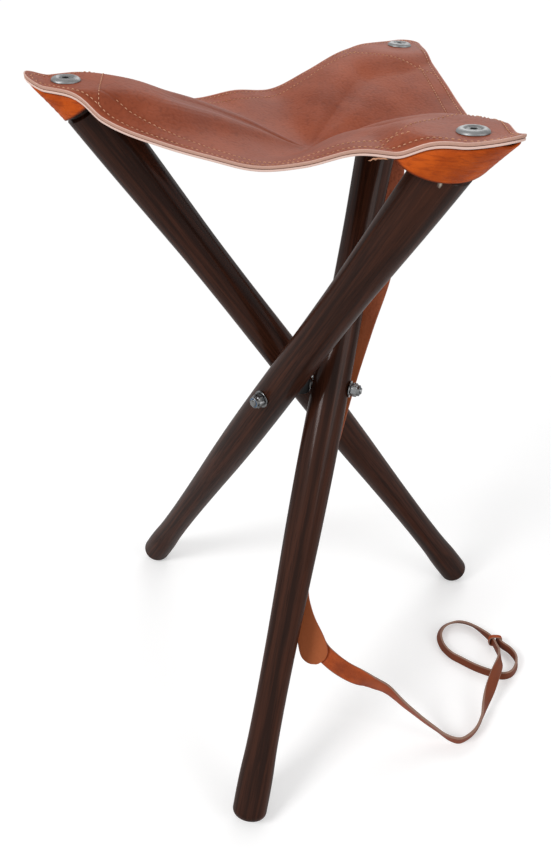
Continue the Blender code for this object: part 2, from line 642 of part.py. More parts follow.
def build_bolt(base):
    """Hub block, studs, washers and locking nuts."""
    first = HEADING["left"] - math.pi / 2.0
    hub_prism = prism(6, hex_radius(2.0 * HUB_APOTHEM), -0.5 * HUB_HEIGHT, 0.5 * HUB_HEIGHT)
    block = solid("bolt_hub", *hub_prism)
    place(block, base, DARK_STEEL, Matrix.Rotation(first + math.pi / 6.0, 4, "Z"))
    edge = block.modifiers.new("Edge", "BEVEL")
    edge.width = 0.8 * MM
    edge.segments = 2
    for name in NAMES:
        frame = FRAMES[name]
        stud_line = frame.col[0].to_3d()
        way = Vector((0.0, 0.0, 1.0)).rotation_difference(stud_line)
        arm = empty("arm_" + name, base, way.to_matrix().to_4x4())
        start = HUB_APOTHEM - HUB_SOCKET
        socket = prism(20, STUD_RADIUS + GAP, start - GAP, HUB_APOTHEM + 4.0 * MM)
        cut(block, cutter("socket_" + name, *socket, arm))
        inner = HUB_APOTHEM + GAP
        seat = BOLT_REACH + BOLT_RADIUS + GAP
        nut = seat + WASHER_THICK + GAP
        tail = nut + NUT_HEIGHT + NUT_COLLAR + STUD_SHOW
        chamfer = 0.5 * MM
        stud = [(0.0, tail), (STUD_RADIUS - chamfer, tail), (STUD_RADIUS, tail - chamfer)]
        stud += [(STUD_RADIUS, start), (0.0, start)]
        place(lathe("stud_" + name, stud, 20), arm, STEEL)
        hole = STUD_RADIUS + GAP
        washers = (("inner", INNER_WASHER_RADIUS, inner), ("outer", OUTER_WASHER_RADIUS, seat))
        for label, radius, low in washers:
            ring = [(hole, low + WASHER_THICK), (radius, low + WASHER_THICK), (radius, low), (hole, low)]
            place(lathe(label + "_washer_" + name, ring, 24, ring=True), arm, STEEL)
        hexagon = prism(6, hex_radius(NUT_FLATS), nut, nut + NUT_HEIGHT, 0.3)
        body = solid("lock_nut_" + name, *hexagon)
        place(body, arm, STEEL)
        chamfers = body.modifiers.new("Edge", "BEVEL")
        chamfers.width = 0.4 * MM
        chamfers.segments = 1
        low = nut + NUT_HEIGHT - 1.0 * MM
        sleeve = prism(28, NUT_COLLAR_RADIUS, low, low + 1.0 * MM + NUT_COLLAR)
        collar = cutter("collar_" + name, *sleeve, arm)
        join = body.modifiers.new("Join", "BOOLEAN")
        join.operation = "UNION"
        join.solver = "EXACT"
        join.object = collar
        bore = prism(20, hole, nut - MM, nut + 4.0 * NUT_HEIGHT)
        cut(body, cutter("nut_bore_" + name, *bore, arm))
        shelf = nut + NUT_HEIGHT + 0.2 * MM
        insert_radius = NUT_COLLAR_RADIUS - 0.7 * MM
        recess = prism(28, insert_radius, shelf, nut + 4.0 * NUT_HEIGHT)
        cut(body, cutter("nut_shelf_" + name, *recess, arm))
        top = nut + NUT_HEIGHT + NUT_COLLAR - 0.3 * MM
        outer = insert_radius - 0.2 * MM
        grip = hole - 0.1 * MM
        ring = [(grip, top), (outer, top), (outer, shelf + 0.2 * MM), (grip, shelf + 0.2 * MM)]
        place(lathe("nut_insert_" + name, ring, 28, ring=True), arm, NYLON)


def strap_points():
    """Centre line of the carry strap and the way its outer face looks, in the back leg's frame."""
    off = GAP + 0.5 * STRAP_THICK
    top = leg_radius((LEG_ABOVE_BOLT - STRAP_FIX_TOP) / LEG_LENGTH) + off
    low = leg_radius((LEG_ABOVE_BOLT - STRAP_FIX_LOW) / LEG_LENGTH) + off
    spot = (top * math.cos(STRAP_TOP_TURN), top * math.sin(STRAP_TOP_TURN))
    route = [(*spot, STRAP_FIX_TOP + STRAP_TAIL), (*spot, STRAP_FIX_TOP - STRAP_HOLD_TOP)]
    run = STRAP_FIX_LOW - STRAP_FIX_TOP
    route += [(x * MM, y * MM, STRAP_FIX_TOP + share * run) for x, y, share in STRAP_ROUTE]
    spot = (low * math.cos(STRAP_LOW_TURN), low * math.sin(STRAP_LOW_TURN))
    route += [(*spot, STRAP_FIX_LOW + STRAP_HOLD_LOW), (*spot, STRAP_FIX_LOW - STRAP_HOLD_LOW)]
    route += [(x * MM, y * MM, STRAP_FIX_LOW - below * MM) for x, y, below in STRAP_END]
    path = smooth_route(route, STRAP_POINTS)
    drop = STRAP_FIX_TOP - path[:, 2]
    twist = smoothstep((drop - STRAP_TWIST_FROM) / STRAP_TWIST_RUN)
    turn = STRAP_TOP_TURN + (0.5 * math.pi - STRAP_TOP_TURN) * twist
    low_mix = 1.0 - smoothstep((np.abs(path[:, 2] - STRAP_FIX_LOW) - LOW_TWIST_FROM) / LOW_TWIST_RUN)
    turn = turn + (STRAP_LOW_TURN - 0.5 * math.pi) * low_mix
    face = np.stack([np.cos(turn), np.sin(turn), np.zeros_like(turn)], axis=1)
    return path, face


def build_strap(base):
    """Carry strap with its rounded tab, and the two screws that hold it to the back leg."""
    path, face = strap_points()
    along = np.gradient(path, axis=0)
    along /= np.linalg.norm(along, axis=1)[:, None]
    across = np.cross(face, along)
    across /= np.linalg.norm(across, axis=1)[:, None]
    face = np.cross(along, across)
    length = np.concatenate([[0.0], np.cumsum(np.linalg.norm(np.diff(path, axis=0), axis=1))])
    left = length[-1] - length
    tab = 1.0 - smoothstep((left - TAB_RUN) / TAB_FLARE)
    half = 0.5 * STRAP_WIDTH + 0.5 * (TAB_WIDTH - STRAP_WIDTH) * tab
    round_end = 0.5 * TAB_WIDTH
    inside = np.clip((round_end - left) / round_end, 0.0, 0.985)
    half = half * np.sqrt(1.0 - inside ** 2)
    half = np.maximum(half, TAB_TIP)
    start = np.clip((STRAP_END_ROUND - length) / STRAP_END_ROUND, 0.0, 1.0)
    half = half - 0.75 * STRAP_END_ROUND * start ** 2
    rows = []
    for a, b in ((-1.0, -0.5), (1.0, -0.5), (1.0, 0.5), (-1.0, 0.5)):
        rows.append(path + across * (a * half)[:, None] + face * b * STRAP_THICK)
    points = np.stack(rows, axis=1).reshape(-1, 3)
    faces = grid_faces(len(path), 4, True)
    last = 4 * (len(path) - 1)
    faces += [(3, 2, 1, 0), (last, last + 1, last + 2, last + 3)]
    strap = place(solid("carry_strap", points, faces), base, STRAP_HIDE)
    leg = bpy.data.objects["leg_back"]
    fixes = (("top", STRAP_FIX_TOP, STRAP_TOP_TURN), ("low", STRAP_FIX_LOW, STRAP_LOW_TURN))
    for label, height, turn in fixes:
        surface = leg_radius((LEG_ABOVE_BOLT - height) / LEG_LENGTH)
        frame = Matrix.Rotation(turn, 4, "Z") @ Matrix.Rotation(math.pi / 2.0, 4, "Y")
        frame.translation = (0.0, 0.0, height)
        spot = empty("strap_fix_" + label, base, frame)
        face_at = surface + 2.0 * GAP + STRAP_THICK
        hole = STRAP_SCREW_RADIUS + GAP
        ring = [
            (hole, face_at + 0.9 * MM), (STRAP_WASHER_RADIUS, face_at + 0.6 * MM),
            (STRAP_WASHER_RADIUS, face_at), (hole, face_at),
        ]
        place(lathe("strap_washer_" + label, ring, 24, ring=True), spot, STEEL)
        top = face_at + 1.2 * MM
        head = 1.9 * STRAP_SCREW_RADIUS
        deep = surface - STRAP_SCREW_DEPTH
        screw = [
            (0.0, top + 1.7 * MM), (0.5 * head, top + 1.5 * MM), (0.9 * head, top + 0.7 * MM), (head, top),
            (STRAP_SCREW_RADIUS, top), (STRAP_SCREW_RADIUS, deep + 2.0 * MM),
            (0.4 * STRAP_SCREW_RADIUS, deep), (0.0, deep),
        ]
        place(lathe("strap_screw_" + label, screw, 20), spot, STEEL)
        tool = prism(16, hole, deep - GAP, face_at + MM)
        hole_tool = cutter("strap_hole_" + label, *tool, spot)
        cut(strap, hole_tool)
        cut(leg, hole_tool)


def build_tie(base, stand):
    """Tie strap on edge, from the tab to its loop on the floor, with the keeper of the loop."""
    back = stand @ FRAMES["back"]
    route = [to_array(back @ (Vector(p) * MM)) for p in TIE_START]
    route += [np.array(p) * MM for p in TIE_ROUTE]
    path = smooth_route(route, TIE_POINTS)
    curve = bpy.data.curves.new("tie_strap", "CURVE")
    curve.dimensions = "3D"
    curve.twist_mode = "Z_UP"
    curve.extrude = 0.5 * TIE_WIDTH - 0.5 * TIE_THICK
    curve.bevel_depth = 0.5 * TIE_THICK
    curve.bevel_resolution = 1
    curve.use_fill_caps = True
    spline = curve.splines.new("POLY")
    spline.points.add(len(path) - 1)
    shrink = 1.0 - (1.0 - TIE_TAPER) * smoothstep(np.linspace(0.0, 1.0, len(path)) / TIE_TAPER_END)
    turn = np.radians(np.interp(np.linspace(0.0, 1.0, len(path)), TIE_TURN_AT, TIE_TURN))
    for point, where, size, angle in zip(spline.points, path, shrink, turn):
        point.co = (*where, 1.0)
        point.radius = float(size)
        point.tilt = -float(angle)
    place(bpy.data.objects.new("tie_strap", curve), base, TIE_HIDE)
    x, z = KEEPER_INNER
    ring = [(-x, -z), (x, -z), (x, z), (-x, z)]
    wall = KEEPER_WALL
    wide = x + wall
    tall = z + wall
    outer = [(-wide, -tall), (wide, -tall), (wide, tall), (-wide, tall)]
    half = 0.5 * KEEPER_LENGTH
    points = []
    for depth in (-half, half):
        points += [(a * MM, depth * MM, b * MM) for a, b in ring + outer]
    faces = []
    for i in range(4):
        j = (i + 1) % 4
        faces += [(i, j, 8 + j, 8 + i), (4 + i, 4 + j, 12 + j, 12 + i)]
        faces += [(i, j, 4 + j, 4 + i), (8 + i, 8 + j, 12 + j, 12 + i)]
    keeper = solid("tie_keeper", points, faces)
    place(keeper, base, TIE_HIDE, Matrix.Translation(Vector(KEEPER_MID) * MM))


def centre_on_floor(base, cords):
    """Move the stool until the box around all but its cord stands centred over the origin."""
    bpy.context.view_layer.update()
    graph = bpy.context.evaluated_depsgraph_get()
    low = np.full(3, 1e9)
    high = np.full(3, -1e9)
    for item in PARTS.objects:
        if item.type == "EMPTY" or item.name in cords:
            continue
        shown = item.evaluated_get(graph)
        mesh = shown.to_mesh()
        flat = np.zeros(3 * len(mesh.vertices))
        mesh.vertices.foreach_get("co", flat)
        world = np.array(shown.matrix_world)
        points = flat.reshape(-1, 3) @ world[:3, :3].T + world[:3, 3]
        low = np.minimum(low, points.min(axis=0))
        high = np.maximum(high, points.max(axis=0))
        shown.to_mesh_clear()
    middle = 0.5 * (low + high)
    base.location = base.location - Vector((middle[0], middle[1], low[2]))
    bpy.context.view_layer.update()


clear_scene()
PARTS = collection("tripod_stool")
CUTTERS = collection("cutters")
STAND = standing_frame()
FLOOR = empty("stool", None, Matrix.Identity(4))
BOLT = empty("bolt_axis", FLOOR, STAND)
HOLES = []
for index, leg_name in enumerate(NAMES):
    swing_axis = empty("swing_" + leg_name, BOLT, FRAMES[leg_name])
    build_leg(leg_name, swing_axis)
    build_corner(leg_name, swing_axis)
    build_pocket(index, leg_name, swing_axis)
    punch = prism(20, SCREW_RADIUS + 2.0 * GAP, -6.0 * MM, 3.0 * SEAT_STACK)
    HOLES.append(cutter("punch_" + leg_name, *punch, swing_axis, corner_matrix(leg_name)))
    if leg_name == "back":
        build_strap(swing_axis)
build_bolt(BOLT)
for layer, upper, lower in (
    ("seat_panel", 0.0, PANEL_THICK),
    ("seat_lining", PANEL_THICK + GAP, PANEL_THICK + GAP + LINING_THICK),
):
    hide = LEATHER if layer == "seat_panel" else LEATHER_BACK
    sheet = place(seat_layer(layer, lower, upper), BOLT, hide)
    for hole_cutter in HOLES:
        cut(sheet, hole_cutter)
build_tie(FLOOR, STAND)
centre_on_floor(FLOOR, ("tie_strap", "tie_keeper"))
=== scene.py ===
"""Dresses the frame of a folding tripod stool: turned legs, leather sling seat, bolt and straps."""
import json
import math

import bmesh
import bpy
import numpy as np
from mathutils import Matrix, Vector


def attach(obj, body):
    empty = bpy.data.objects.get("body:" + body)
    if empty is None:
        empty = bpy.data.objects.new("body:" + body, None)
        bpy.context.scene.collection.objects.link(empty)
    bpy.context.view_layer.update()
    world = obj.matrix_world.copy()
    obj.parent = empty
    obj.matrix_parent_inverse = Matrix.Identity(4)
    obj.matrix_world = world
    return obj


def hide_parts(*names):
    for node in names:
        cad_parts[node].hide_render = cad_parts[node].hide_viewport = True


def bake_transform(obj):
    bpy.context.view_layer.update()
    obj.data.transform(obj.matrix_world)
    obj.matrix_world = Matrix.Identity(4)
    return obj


bl_info = {
    "name": "Tripod Stool",
    "version": (1, 0, 0),
    "blender": (4, 5, 0),
    "location": "View3D > Sidebar > Stool",
    "description": "Builds a folding tripod stool with a leather sling seat on its frame",
    "category": "Add Mesh",
}

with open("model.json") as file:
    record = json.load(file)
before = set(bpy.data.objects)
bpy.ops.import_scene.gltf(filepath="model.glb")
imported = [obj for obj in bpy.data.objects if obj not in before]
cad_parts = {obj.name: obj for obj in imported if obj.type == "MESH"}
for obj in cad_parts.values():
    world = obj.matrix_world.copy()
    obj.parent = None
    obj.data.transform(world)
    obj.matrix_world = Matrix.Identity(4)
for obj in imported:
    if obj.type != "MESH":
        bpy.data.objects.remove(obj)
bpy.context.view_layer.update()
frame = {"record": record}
JOINTS = {joint["name"]: joint for joint in frame["record"]["behaviour"]["joints"]}

MM = 0.001
NAMES = ("left", "right", "back")
GAP = 0.3 * MM

# Turned legs: stations run from the sawn top (0) to the foot (1), radii are shares of LEG_RADIUS
LEG_ABOVE_BOLT = 275.0 * MM
LEG_BELOW_BOLT = 362.0 * MM
LEG_LENGTH = LEG_ABOVE_BOLT + LEG_BELOW_BOLT
LEG_RADIUS = 15.4 * MM
LEG_STATIONS = (
    0.02, 0.05, 0.10, 0.16, 0.22, 0.29, 0.37, 0.45, 0.54, 0.62, 0.70, 0.78, 0.86, 0.91, 0.945, 0.97,
)
LEG_SHARES = (
    1.10, 1.09, 1.06, 1.00, 0.945, 0.935, 0.965, 1.00, 1.01, 0.97, 0.895, 0.835, 0.815, 0.845, 0.91, 0.925,
)
FOOT_RADIUS = 0.92 * LEG_RADIUS
FOOT_ROUND = 7.0 * MM
TOP_CUT = math.radians(34.5)
TOP_EASE = 0.4 * MM
FOOT_FROM = 0.955
GRAIN_SHIFT = (0.31, 0.17, 0.23)
CHIP_LEG = "right"
CHIP_SPOT = (14.1 * MM, 9.3 * MM, LEG_ABOVE_BOLT - 21.7 * MM)
CHIP_SIZE = (0.9 * MM, 0.9 * MM, 1.6 * MM)
SWING = {"left": math.radians(34.28), "right": math.radians(30.54), "back": math.radians(36.09)}
HEADING = {"left": math.radians(197.3), "right": math.radians(316.5), "back": math.radians(76.8)}

# Three-way bolt
STUD_RADIUS = 3.0 * MM
THREAD_DEPTH = 0.35 * MM
HUB_APOTHEM = 9.9 * MM
HUB_HEIGHT = 15.0 * MM
HUB_SOCKET = 7.0 * MM
WASHER_THICK = 1.0 * MM
WASHER_EASE = 0.15 * MM
INNER_WASHER_RADIUS = 5.4 * MM
OUTER_WASHER_RADIUS = 7.0 * MM
NUT_FLATS = 10.0 * MM
NUT_HEIGHT = 5.2 * MM
NUT_COLLAR = 2.2 * MM
NUT_COLLAR_RADIUS = 4.6 * MM
NUT_GRIP = NUT_COLLAR_RADIUS - 0.7 * MM
NUT_TURN = 0.3
STUD_SHOW = 1.4 * MM

# Leather seat, its edges named for the corner each starts from on its way round by the front
PANEL_THICK = 1.8 * MM
LINING_THICK = 1.4 * MM
SEAT_STACK = PANEL_THICK + LINING_THICK + 2.0 * GAP
CORNER_SHIFT = {"left": (0.0, 4.0 * MM), "right": (1.0 * MM, 4.0 * MM), "back": (2.5 * MM, 4.0 * MM)}
TIP_REACH = {"left": 25.0 * MM, "right": 32.0 * MM, "back": 26.0 * MM}
TIP_RADIUS = 12.0 * MM
TIP_CURL = {"left": 5.0 * MM, "right": 5.0 * MM, "back": 0.5 * MM}
CURL_POWER = 1.35
CURL_EASE = 3.0 * MM
CENTRE_SAG = 44.0 * MM
RIDGE_POWER = {"left": 2.4, "right": 2.2, "back": 1.9}
VALLEY_POWER = 1.0
RIDGE_SPREAD = math.radians(29.0)
RIDGE_FADE = 0.6
CENTRE_ROUND = 0.06
FLAT_RADIUS = 20.0 * MM
FLAT_FADE = 18.0 * MM
FLAT_MORE = 35.0 * MM
EDGE_BOW = {"left": 9.0 * MM, "right": -15.0 * MM, "back": 4.0 * MM}
DROOP_AT = (0.0, 0.12, 0.22, 0.32, 0.42, 0.52, 0.62, 0.72, 0.82, 0.92, 1.0)
EDGE_DROOP = {
    "left": (0.0, 4.0, 16.0, 22.0, 25.5, 27.6, 21.5, 11.0, 9.0, 1.0, 0.0),
    "right": (0.0, 0.0, 5.0, 13.0, 20.0, 25.0, 21.0, 13.0, 6.0, 1.5, 0.0),
    "back": (0.0, 0.0, 4.5, 16.0, 26.0, 24.0, 26.5, 22.0, 10.5, 1.0, 0.0),
}
EDGE_BULGE = 0.45 * MM
SWELL = 0.11 * MM
ROW_CROWD = 1.35
LOBE_HOLD = 34.0 * MM

# Sewing: insets of the rows, and frayed threads as shares of the edge before a corner and how far each hangs
SEAM_ROW = 3.8 * MM
SECOND_ROW = 13.5 * MM
SECOND_ROW_ENDS = (0.20, 0.80)
FRAY = {"right": ((0.742, 0.775, 2.2 * MM), (0.752, 0.782, 1.2 * MM))}
CORNER_ROW = {"left": 47.0 * MM, "right": 66.0 * MM, "back": 64.0 * MM}
FRAY_INSET = 0.3 * MM
FRAY_CURL = 0.4 * MM
FRAY_WAVES = 17.0
FRAY_THICK = 1.6

# Corner pockets and their fasteners
POCKET_SEAM = {"left": 0.155, "right": 0.205, "back": 0.172}
POCKET_SEAM_FROM = 0.117
POCKET_DROP = {"left": 12.0 * MM, "right": 16.0 * MM, "back": 15.0 * MM}
POCKET_WALL = 1.6 * MM
POCKET_EASE = 0.9 * MM
NECK_RADIUS = LEG_SHARES[0] * LEG_RADIUS - POCKET_WALL - POCKET_EASE
POCKET_FOLD = 1.1
POCKET_INSET = 2.2 * MM
POCKET_BELOW = 0.2 * MM
POCKET_HEART = 6.0 * MM
POCKET_CREASE = 0.22 * MM
POCKET_WAVES = 52.0
POCKET_WAVES_IN = (0.0, 0.3)
POCKET_WAVES_OUT = (0.93, 0.07)
POCKET_RIM = (0.965, 0.03)
CUP_RADIUS = 9.4 * MM
CUP_HEIGHT = 2.8 * MM
CUP_ROLL_AT = (0.0, 0.12, 0.3, 0.65, 0.9, 1.0)
CUP_ROLL_REACH = (0.60, 0.66, 0.78, 0.92, 0.99, 1.0)
CUP_ROLL_RISE = (0.96, 1.0, 0.94, 0.62, 0.22, 0.0)
SCREW_RADIUS = 3.0 * MM
SCREW_DEPTH = 12.0 * MM
SCREW_SINK = 1.3 * MM
CUP_SHOW = 0.78 * CUP_HEIGHT
SOCKET_FLATS = 4.0 * MM

# Carry strap on the back leg: across, behind and along the leg, in millimetres
STRAP_WIDTH = 16.5 * MM
STRAP_THICK = 2.2 * MM
STRAP_CORNER = 0.6 * MM
STRAP_FIX_TOP = 222.0 * MM
STRAP_FIX_LOW = -138.0 * MM
STRAP_TOP_TURN = math.radians(55.0)
STRAP_LOW_TURN = math.radians(84.0)
STRAP_TOP_FLAT = (9.0 * MM, -5.0 * MM)
STRAP_LOW_FLAT = (7.0 * MM, -6.0 * MM)
STRAP_TOP_TWIST = (4.0 * MM, 26.0 * MM)
STRAP_LOW_TWIST = (8.0 * MM, 30.0 * MM)
STRAP_TIP = 4.0 * MM
STRAP_TIP_IN = 3.0 * MM
STRAP_ROUTE = (
    (14.5, 18.2, 193.0), (17.2, 18.6, 172.0), (20.0, 19.0, 138.0), (21.4, 19.4, 100.0),
    (15.2, 20.0, 56.0), (9.2, 20.4, 8.0), (5.0, 19.8, -42.0), (2.0, 18.0, -92.0),
)
STRAP_END = (
    (1.8, 16.6, -160.0), (4.8, 17.2, -178.0), (13.5, 18.0, -197.0), (22.5, 18.6, -214.5),
    (30.0, 18.9, -230.5),
)
TAB_WIDTH = 24.0 * MM
TAB_FLARE = (14.0 * MM, 30.0 * MM)
STRAP_SCREW_RADIUS = 1.75 * MM
STRAP_SCREW_DEPTH = 9.0 * MM
STRAP_WASHER_RADIUS = 5.0 * MM

# Tie strap: leaves the tab, reaches the floor and closes in a loop, in millimetres
TIE_WIDTH = 14.8 * MM
TIE_THICK = 2.2 * MM
TIE_TAPER = 0.61
TIE_TAPER_END = 0.64
TIE_TURN_AT = (
    0.0, 0.05, 0.08, 0.105, 0.14, 0.18, 0.22, 0.26, 0.31, 0.34, 0.38, 0.41, 0.44, 0.47,
    0.495, 0.52, 0.545, 0.565, 0.61, 0.65, 0.70, 0.74, 0.78, 0.90, 0.92, 0.935, 0.955, 1.0,
)
TIE_TURN = (
    47.0, 45.0, 30.0, 25.0, -13.0, -22.0, -29.0, -34.0, -32.0, -18.0, -9.0, 0.0, 31.0, 70.0,
    80.0, 52.0, 20.0, 3.0, 3.0, 35.0, 38.0, 19.0, 2.0, 2.0, 8.0, 10.0, 0.0, 0.0,
)
TIE_START = ((22.0, 21.0, -208.0), (31.0, 22.2, -219.0))
TIE_ROUTE = (
    (33.7, -119.0, 104.0), (44.7, -117.8, 92.0), (58.4, -113.5, 78.0), (72.5, -108.1, 64.0),
    (84.3, -105.5, 53.0), (103.2, -109.0, 35.0), (126.8, -114.6, 16.5), (143.7, -120.3, 8.0),
    (151.9, -120.7, 6.2), (160.7, -115.6, 6.0), (168.1, -108.0, 6.2), (174.0, -97.9, 7.5),
    (179.5, -84.1, 11.0), (185.9, -69.8, 15.5), (193.0, -53.9, 18.0), (200.4, -37.0, 16.0),
    (203.2, -23.1, 11.5), (202.6, -11.2, 8.0), (200.6, -1.1, 6.6), (194.6, 9.2, 5.4),
    (181.6, 21.5, 5.0), (169.0, 24.5, 5.0), (155.3, 18.4, 5.0), (148.2, 5.8, 5.0),
    (149.5, -8.9, 5.0), (156.6, -20.3, 5.0), (164.8, -26.4, 5.0), (178.3, -35.3, 5.0),
    (190.7, -41.0, 5.0), (203.5, -44.8, 5.0), (212.3, -41.6, 5.0), (219.0, -31.8, 5.0),
    (220.6, -22.6, 5.2), (216.5, -13.2, 5.8), (208.6, -5.4, 6.4), (205.6, 2.0, 6.6),
)
KEEPER_MID = (203.4, -1.2, 6.6)
KEEPER_INNER = (5.4, 5.2)
KEEPER_WALL = 1.4
KEEPER_HALF = 2.0
KEEPER_SQUARE = 0.6
KEEPER_BAR = 0.5

# Camera of the photograph: place in millimetres, axes, and focal length and middle in pixels of the image
IMAGE = (551.0, 864.0)
FOCAL = 841.0
MIDDLE = (290.2, 434.5)
EYE = (3.853, -578.058, 655.754)
EYE_RIGHT = (0.999457, 0.031766, 0.008794)
EYE_UP = (-0.025062, 0.559097, 0.828723)

# Fineness of the curves and meshes
HUB_SIDES = 120
STUD_SIDES = 40
ROUND_SIDES = 96
SMALL_SIDES = 64
STITCH_ROWS = 7
STITCH_SIDES = 8
LEG_ROWS = 220
LEG_SIDES = 96
POCKET_ROWS = 64
POCKET_COLUMNS = 97
PANEL_GRID = (110, 240)
LINING_GRID = (60, 150)
STRAP_SECTIONS = 420
TIE_SECTIONS = 520
ROUTE_SAMPLES = 24
ARC_SAMPLES = 60
RUN_SAMPLES = 240
EDGE_SAMPLES = 480
ROW_SAMPLES = 900

# Stage: each lamp's place, width and power, and the floor, in metres and watts
LAMPS = (
    ("key_lamp", (-1.35, -1.15, 1.65), 0.7, 23.0),
    ("fill_lamp", (1.7, -1.2, 1.2), 1.2, 12.0),
    ("back_lamp", (0.3, 1.6, 1.6), 1.2, 9.0),
)
LAMP_AIM = (0.0, 0.0, 0.30)
FLOOR_REACH = 9.0
FLOOR_BACK = 4.0
FLOOR_DROP = 0.2 * MM


def length_setting(name, description, default):
    """A size that can be set in the sidebar."""
    return bpy.props.FloatProperty(
        name=name, description=description, default=default, unit="LENGTH", subtype="DISTANCE")


def colour_setting(name, description, default):
    """A colour that can be set in the sidebar."""
    return bpy.props.FloatVectorProperty(
        name=name, description=description, default=default, subtype="COLOR")


class StoolSizes(bpy.types.PropertyGroup):
    """Sizes of the sewing and of the surface detail."""

    stitch_pitch: length_setting("Stitch pitch", "Distance from stitch to stitch", 3.4 * MM)
    stitch_length: length_setting("Stitch length", "Thread that shows in one stitch", 2.2 * MM)
    thread_radius: length_setting("Thread radius", "Half the thickness of the thread", 0.30 * MM)
    grain_cell: length_setting("Grain cell", "Width of a pebble in the leather's grain", 1.9 * MM)
    thread_pitch: length_setting("Screw pitch", "Pitch of the studs' screw thread", 1.0 * MM)


class StoolColours(bpy.types.PropertyGroup):
    """Colours of the finishes."""

    wood: colour_setting("Wood", "Stained wood of the legs", (0.032, 0.0110, 0.0062))
    seat: colour_setting("Seat", "Grain side of the seat", (0.262, 0.062, 0.028))
    lining: colour_setting("Lining", "Underside of the seat", (0.290, 0.115, 0.065))
    pocket: colour_setting("Pocket", "Hide of the corner pockets", (0.510, 0.084, 0.006))
    strap: colour_setting("Carry strap", "Pebbled carry strap", (0.370, 0.105, 0.054))
    tie: colour_setting("Tie strap", "Smooth tie strap", (0.350, 0.066, 0.016))
    edge: colour_setting("Raw edge", "Cut edges of the leather", (0.860, 0.620, 0.540))
    thread: colour_setting("Thread", "Sewing thread", (0.620, 0.330, 0.200))
    steel: colour_setting("Steel", "Plated fasteners", (0.400, 0.405, 0.410))
    nylon: colour_setting("Nylon", "Rings in the lock nuts", (0.110, 0.230, 0.420))


class StoolSettings(bpy.types.PropertyGroup):
    """All settings of the stool."""

    sizes: bpy.props.PointerProperty(type=StoolSizes, name="Sizes", description="Sewing and detail")
    colours: bpy.props.PointerProperty(type=StoolColours, name="Colours", description="Finishes")


class Wire:
    """A shader socket: arithmetic on it adds Math nodes, and node() adds any other node."""

    def __init__(self, tree, socket=None):
        self.tree = tree
        self.socket = socket

    def node(self, kind, settings=None, inputs=None, out=0):
        """Add a node, its settings first, then the values or links of its sockets."""
        item = self.tree.nodes.new(kind)
        for key, value in (settings or {}).items():
            setattr(item, key, value)
        for key, value in (inputs or {}).items():
            if isinstance(value, Wire):
                self.tree.links.new(value.socket, item.inputs[key])
            else:
                item.inputs[key].default_value = value
        return Wire(self.tree, item.outputs[out])

    def math(self, operation, a, b=0.0):
        """One Math node."""
        return self.node("ShaderNodeMath", {"operation": operation}, {0: a, 1: b})

    def __add__(self, other):
        return self.math("ADD", self, other)

    def __sub__(self, other):
        return self.math("SUBTRACT", self, other)

    def __rsub__(self, other):
        return self.math("SUBTRACT", other, self)

    def __mul__(self, other):
        return self.math("MULTIPLY", self, other)

    __radd__ = __add__
    __rmul__ = __mul__

    def step(self, low, high):
        """Smooth rise from 0 at low to 1 at high."""
        settings = {"interpolation_type": "SMOOTHSTEP"}
        return self.node("ShaderNodeMapRange", settings, {0: self, 1: low, 2: high, 3: 0.0, 4: 1.0})

    def scaled(self, by):
        """The vector times three factors."""
        return self.node("ShaderNodeVectorMath", {"operation": "MULTIPLY"}, {0: self, 1: by})

    def noise(self, scale, detail=3.0, rough=0.5, warp=0.0):
        """Noise at this vector."""
        values = {"Vector": self, "Scale": scale, "Detail": detail, "Roughness": rough, "Distortion": warp}
        return self.node("ShaderNodeTexNoise", None, values)

    def cells(self, scale):
        """Distance to the middles of rounded cells at this vector."""
        return self.node("ShaderNodeTexVoronoi", {"feature": "SMOOTH_F1"}, {"Vector": self, "Scale": scale})

    def mix(self, first, second):
        """Colour between two colours, this value being the share of the second."""
        return self.node("ShaderNodeMix", {"data_type": "RGBA"}, {0: self, 6: first, 7: second}, 2)

    def bump(self, distance, strength=1.0):
        """Normal from this height."""
        values = {"Strength": strength, "Distance": distance, "Height": self}
        return self.node("ShaderNodeBump", None, values)


class Finish:
    """A material whose constants sit on the shader's sockets and whose patterns are wired to it."""

    def __init__(self, name, **constants):
        self.item = bpy.data.materials.new(name)
        self.item.use_nodes = True
        self.tree = self.item.node_tree
        self.shader = self.tree.nodes["Principled BSDF"]
        for key, value in constants.items():
            self.shader.inputs[key.replace("_", " ")].default_value = value
        self.wire = Wire(self.tree)

    def place(self):
        """Object coordinates."""
        return self.wire.node("ShaderNodeTexCoord", None, None, "Object")

    def value(self, name):
        """A number that the mesh carries at each vertex."""
        return self.wire.node("ShaderNodeAttribute", {"attribute_name": name}, None, "Fac")

    def vector(self, name):
        """A vector that the mesh carries at each vertex."""
        return self.wire.node("ShaderNodeAttribute", {"attribute_name": name}, None, "Vector")

    def plug(self, **wires):
        """Wire patterns to the shader and give the material."""
        for key, wire in wires.items():
            self.tree.links.new(wire.socket, self.shader.inputs[key.replace("_", " ")])
        return self.item


def tint(colour, gain):
    """Colour times a gain, as four numbers."""
    return (*(min(1.0, channel * gain) for channel in colour), 1.0)


def shade(colour, red, green, blue):
    """Colour with its channels scaled one by one."""
    return (colour[0] * red, colour[1] * green, colour[2] * blue, 1.0)


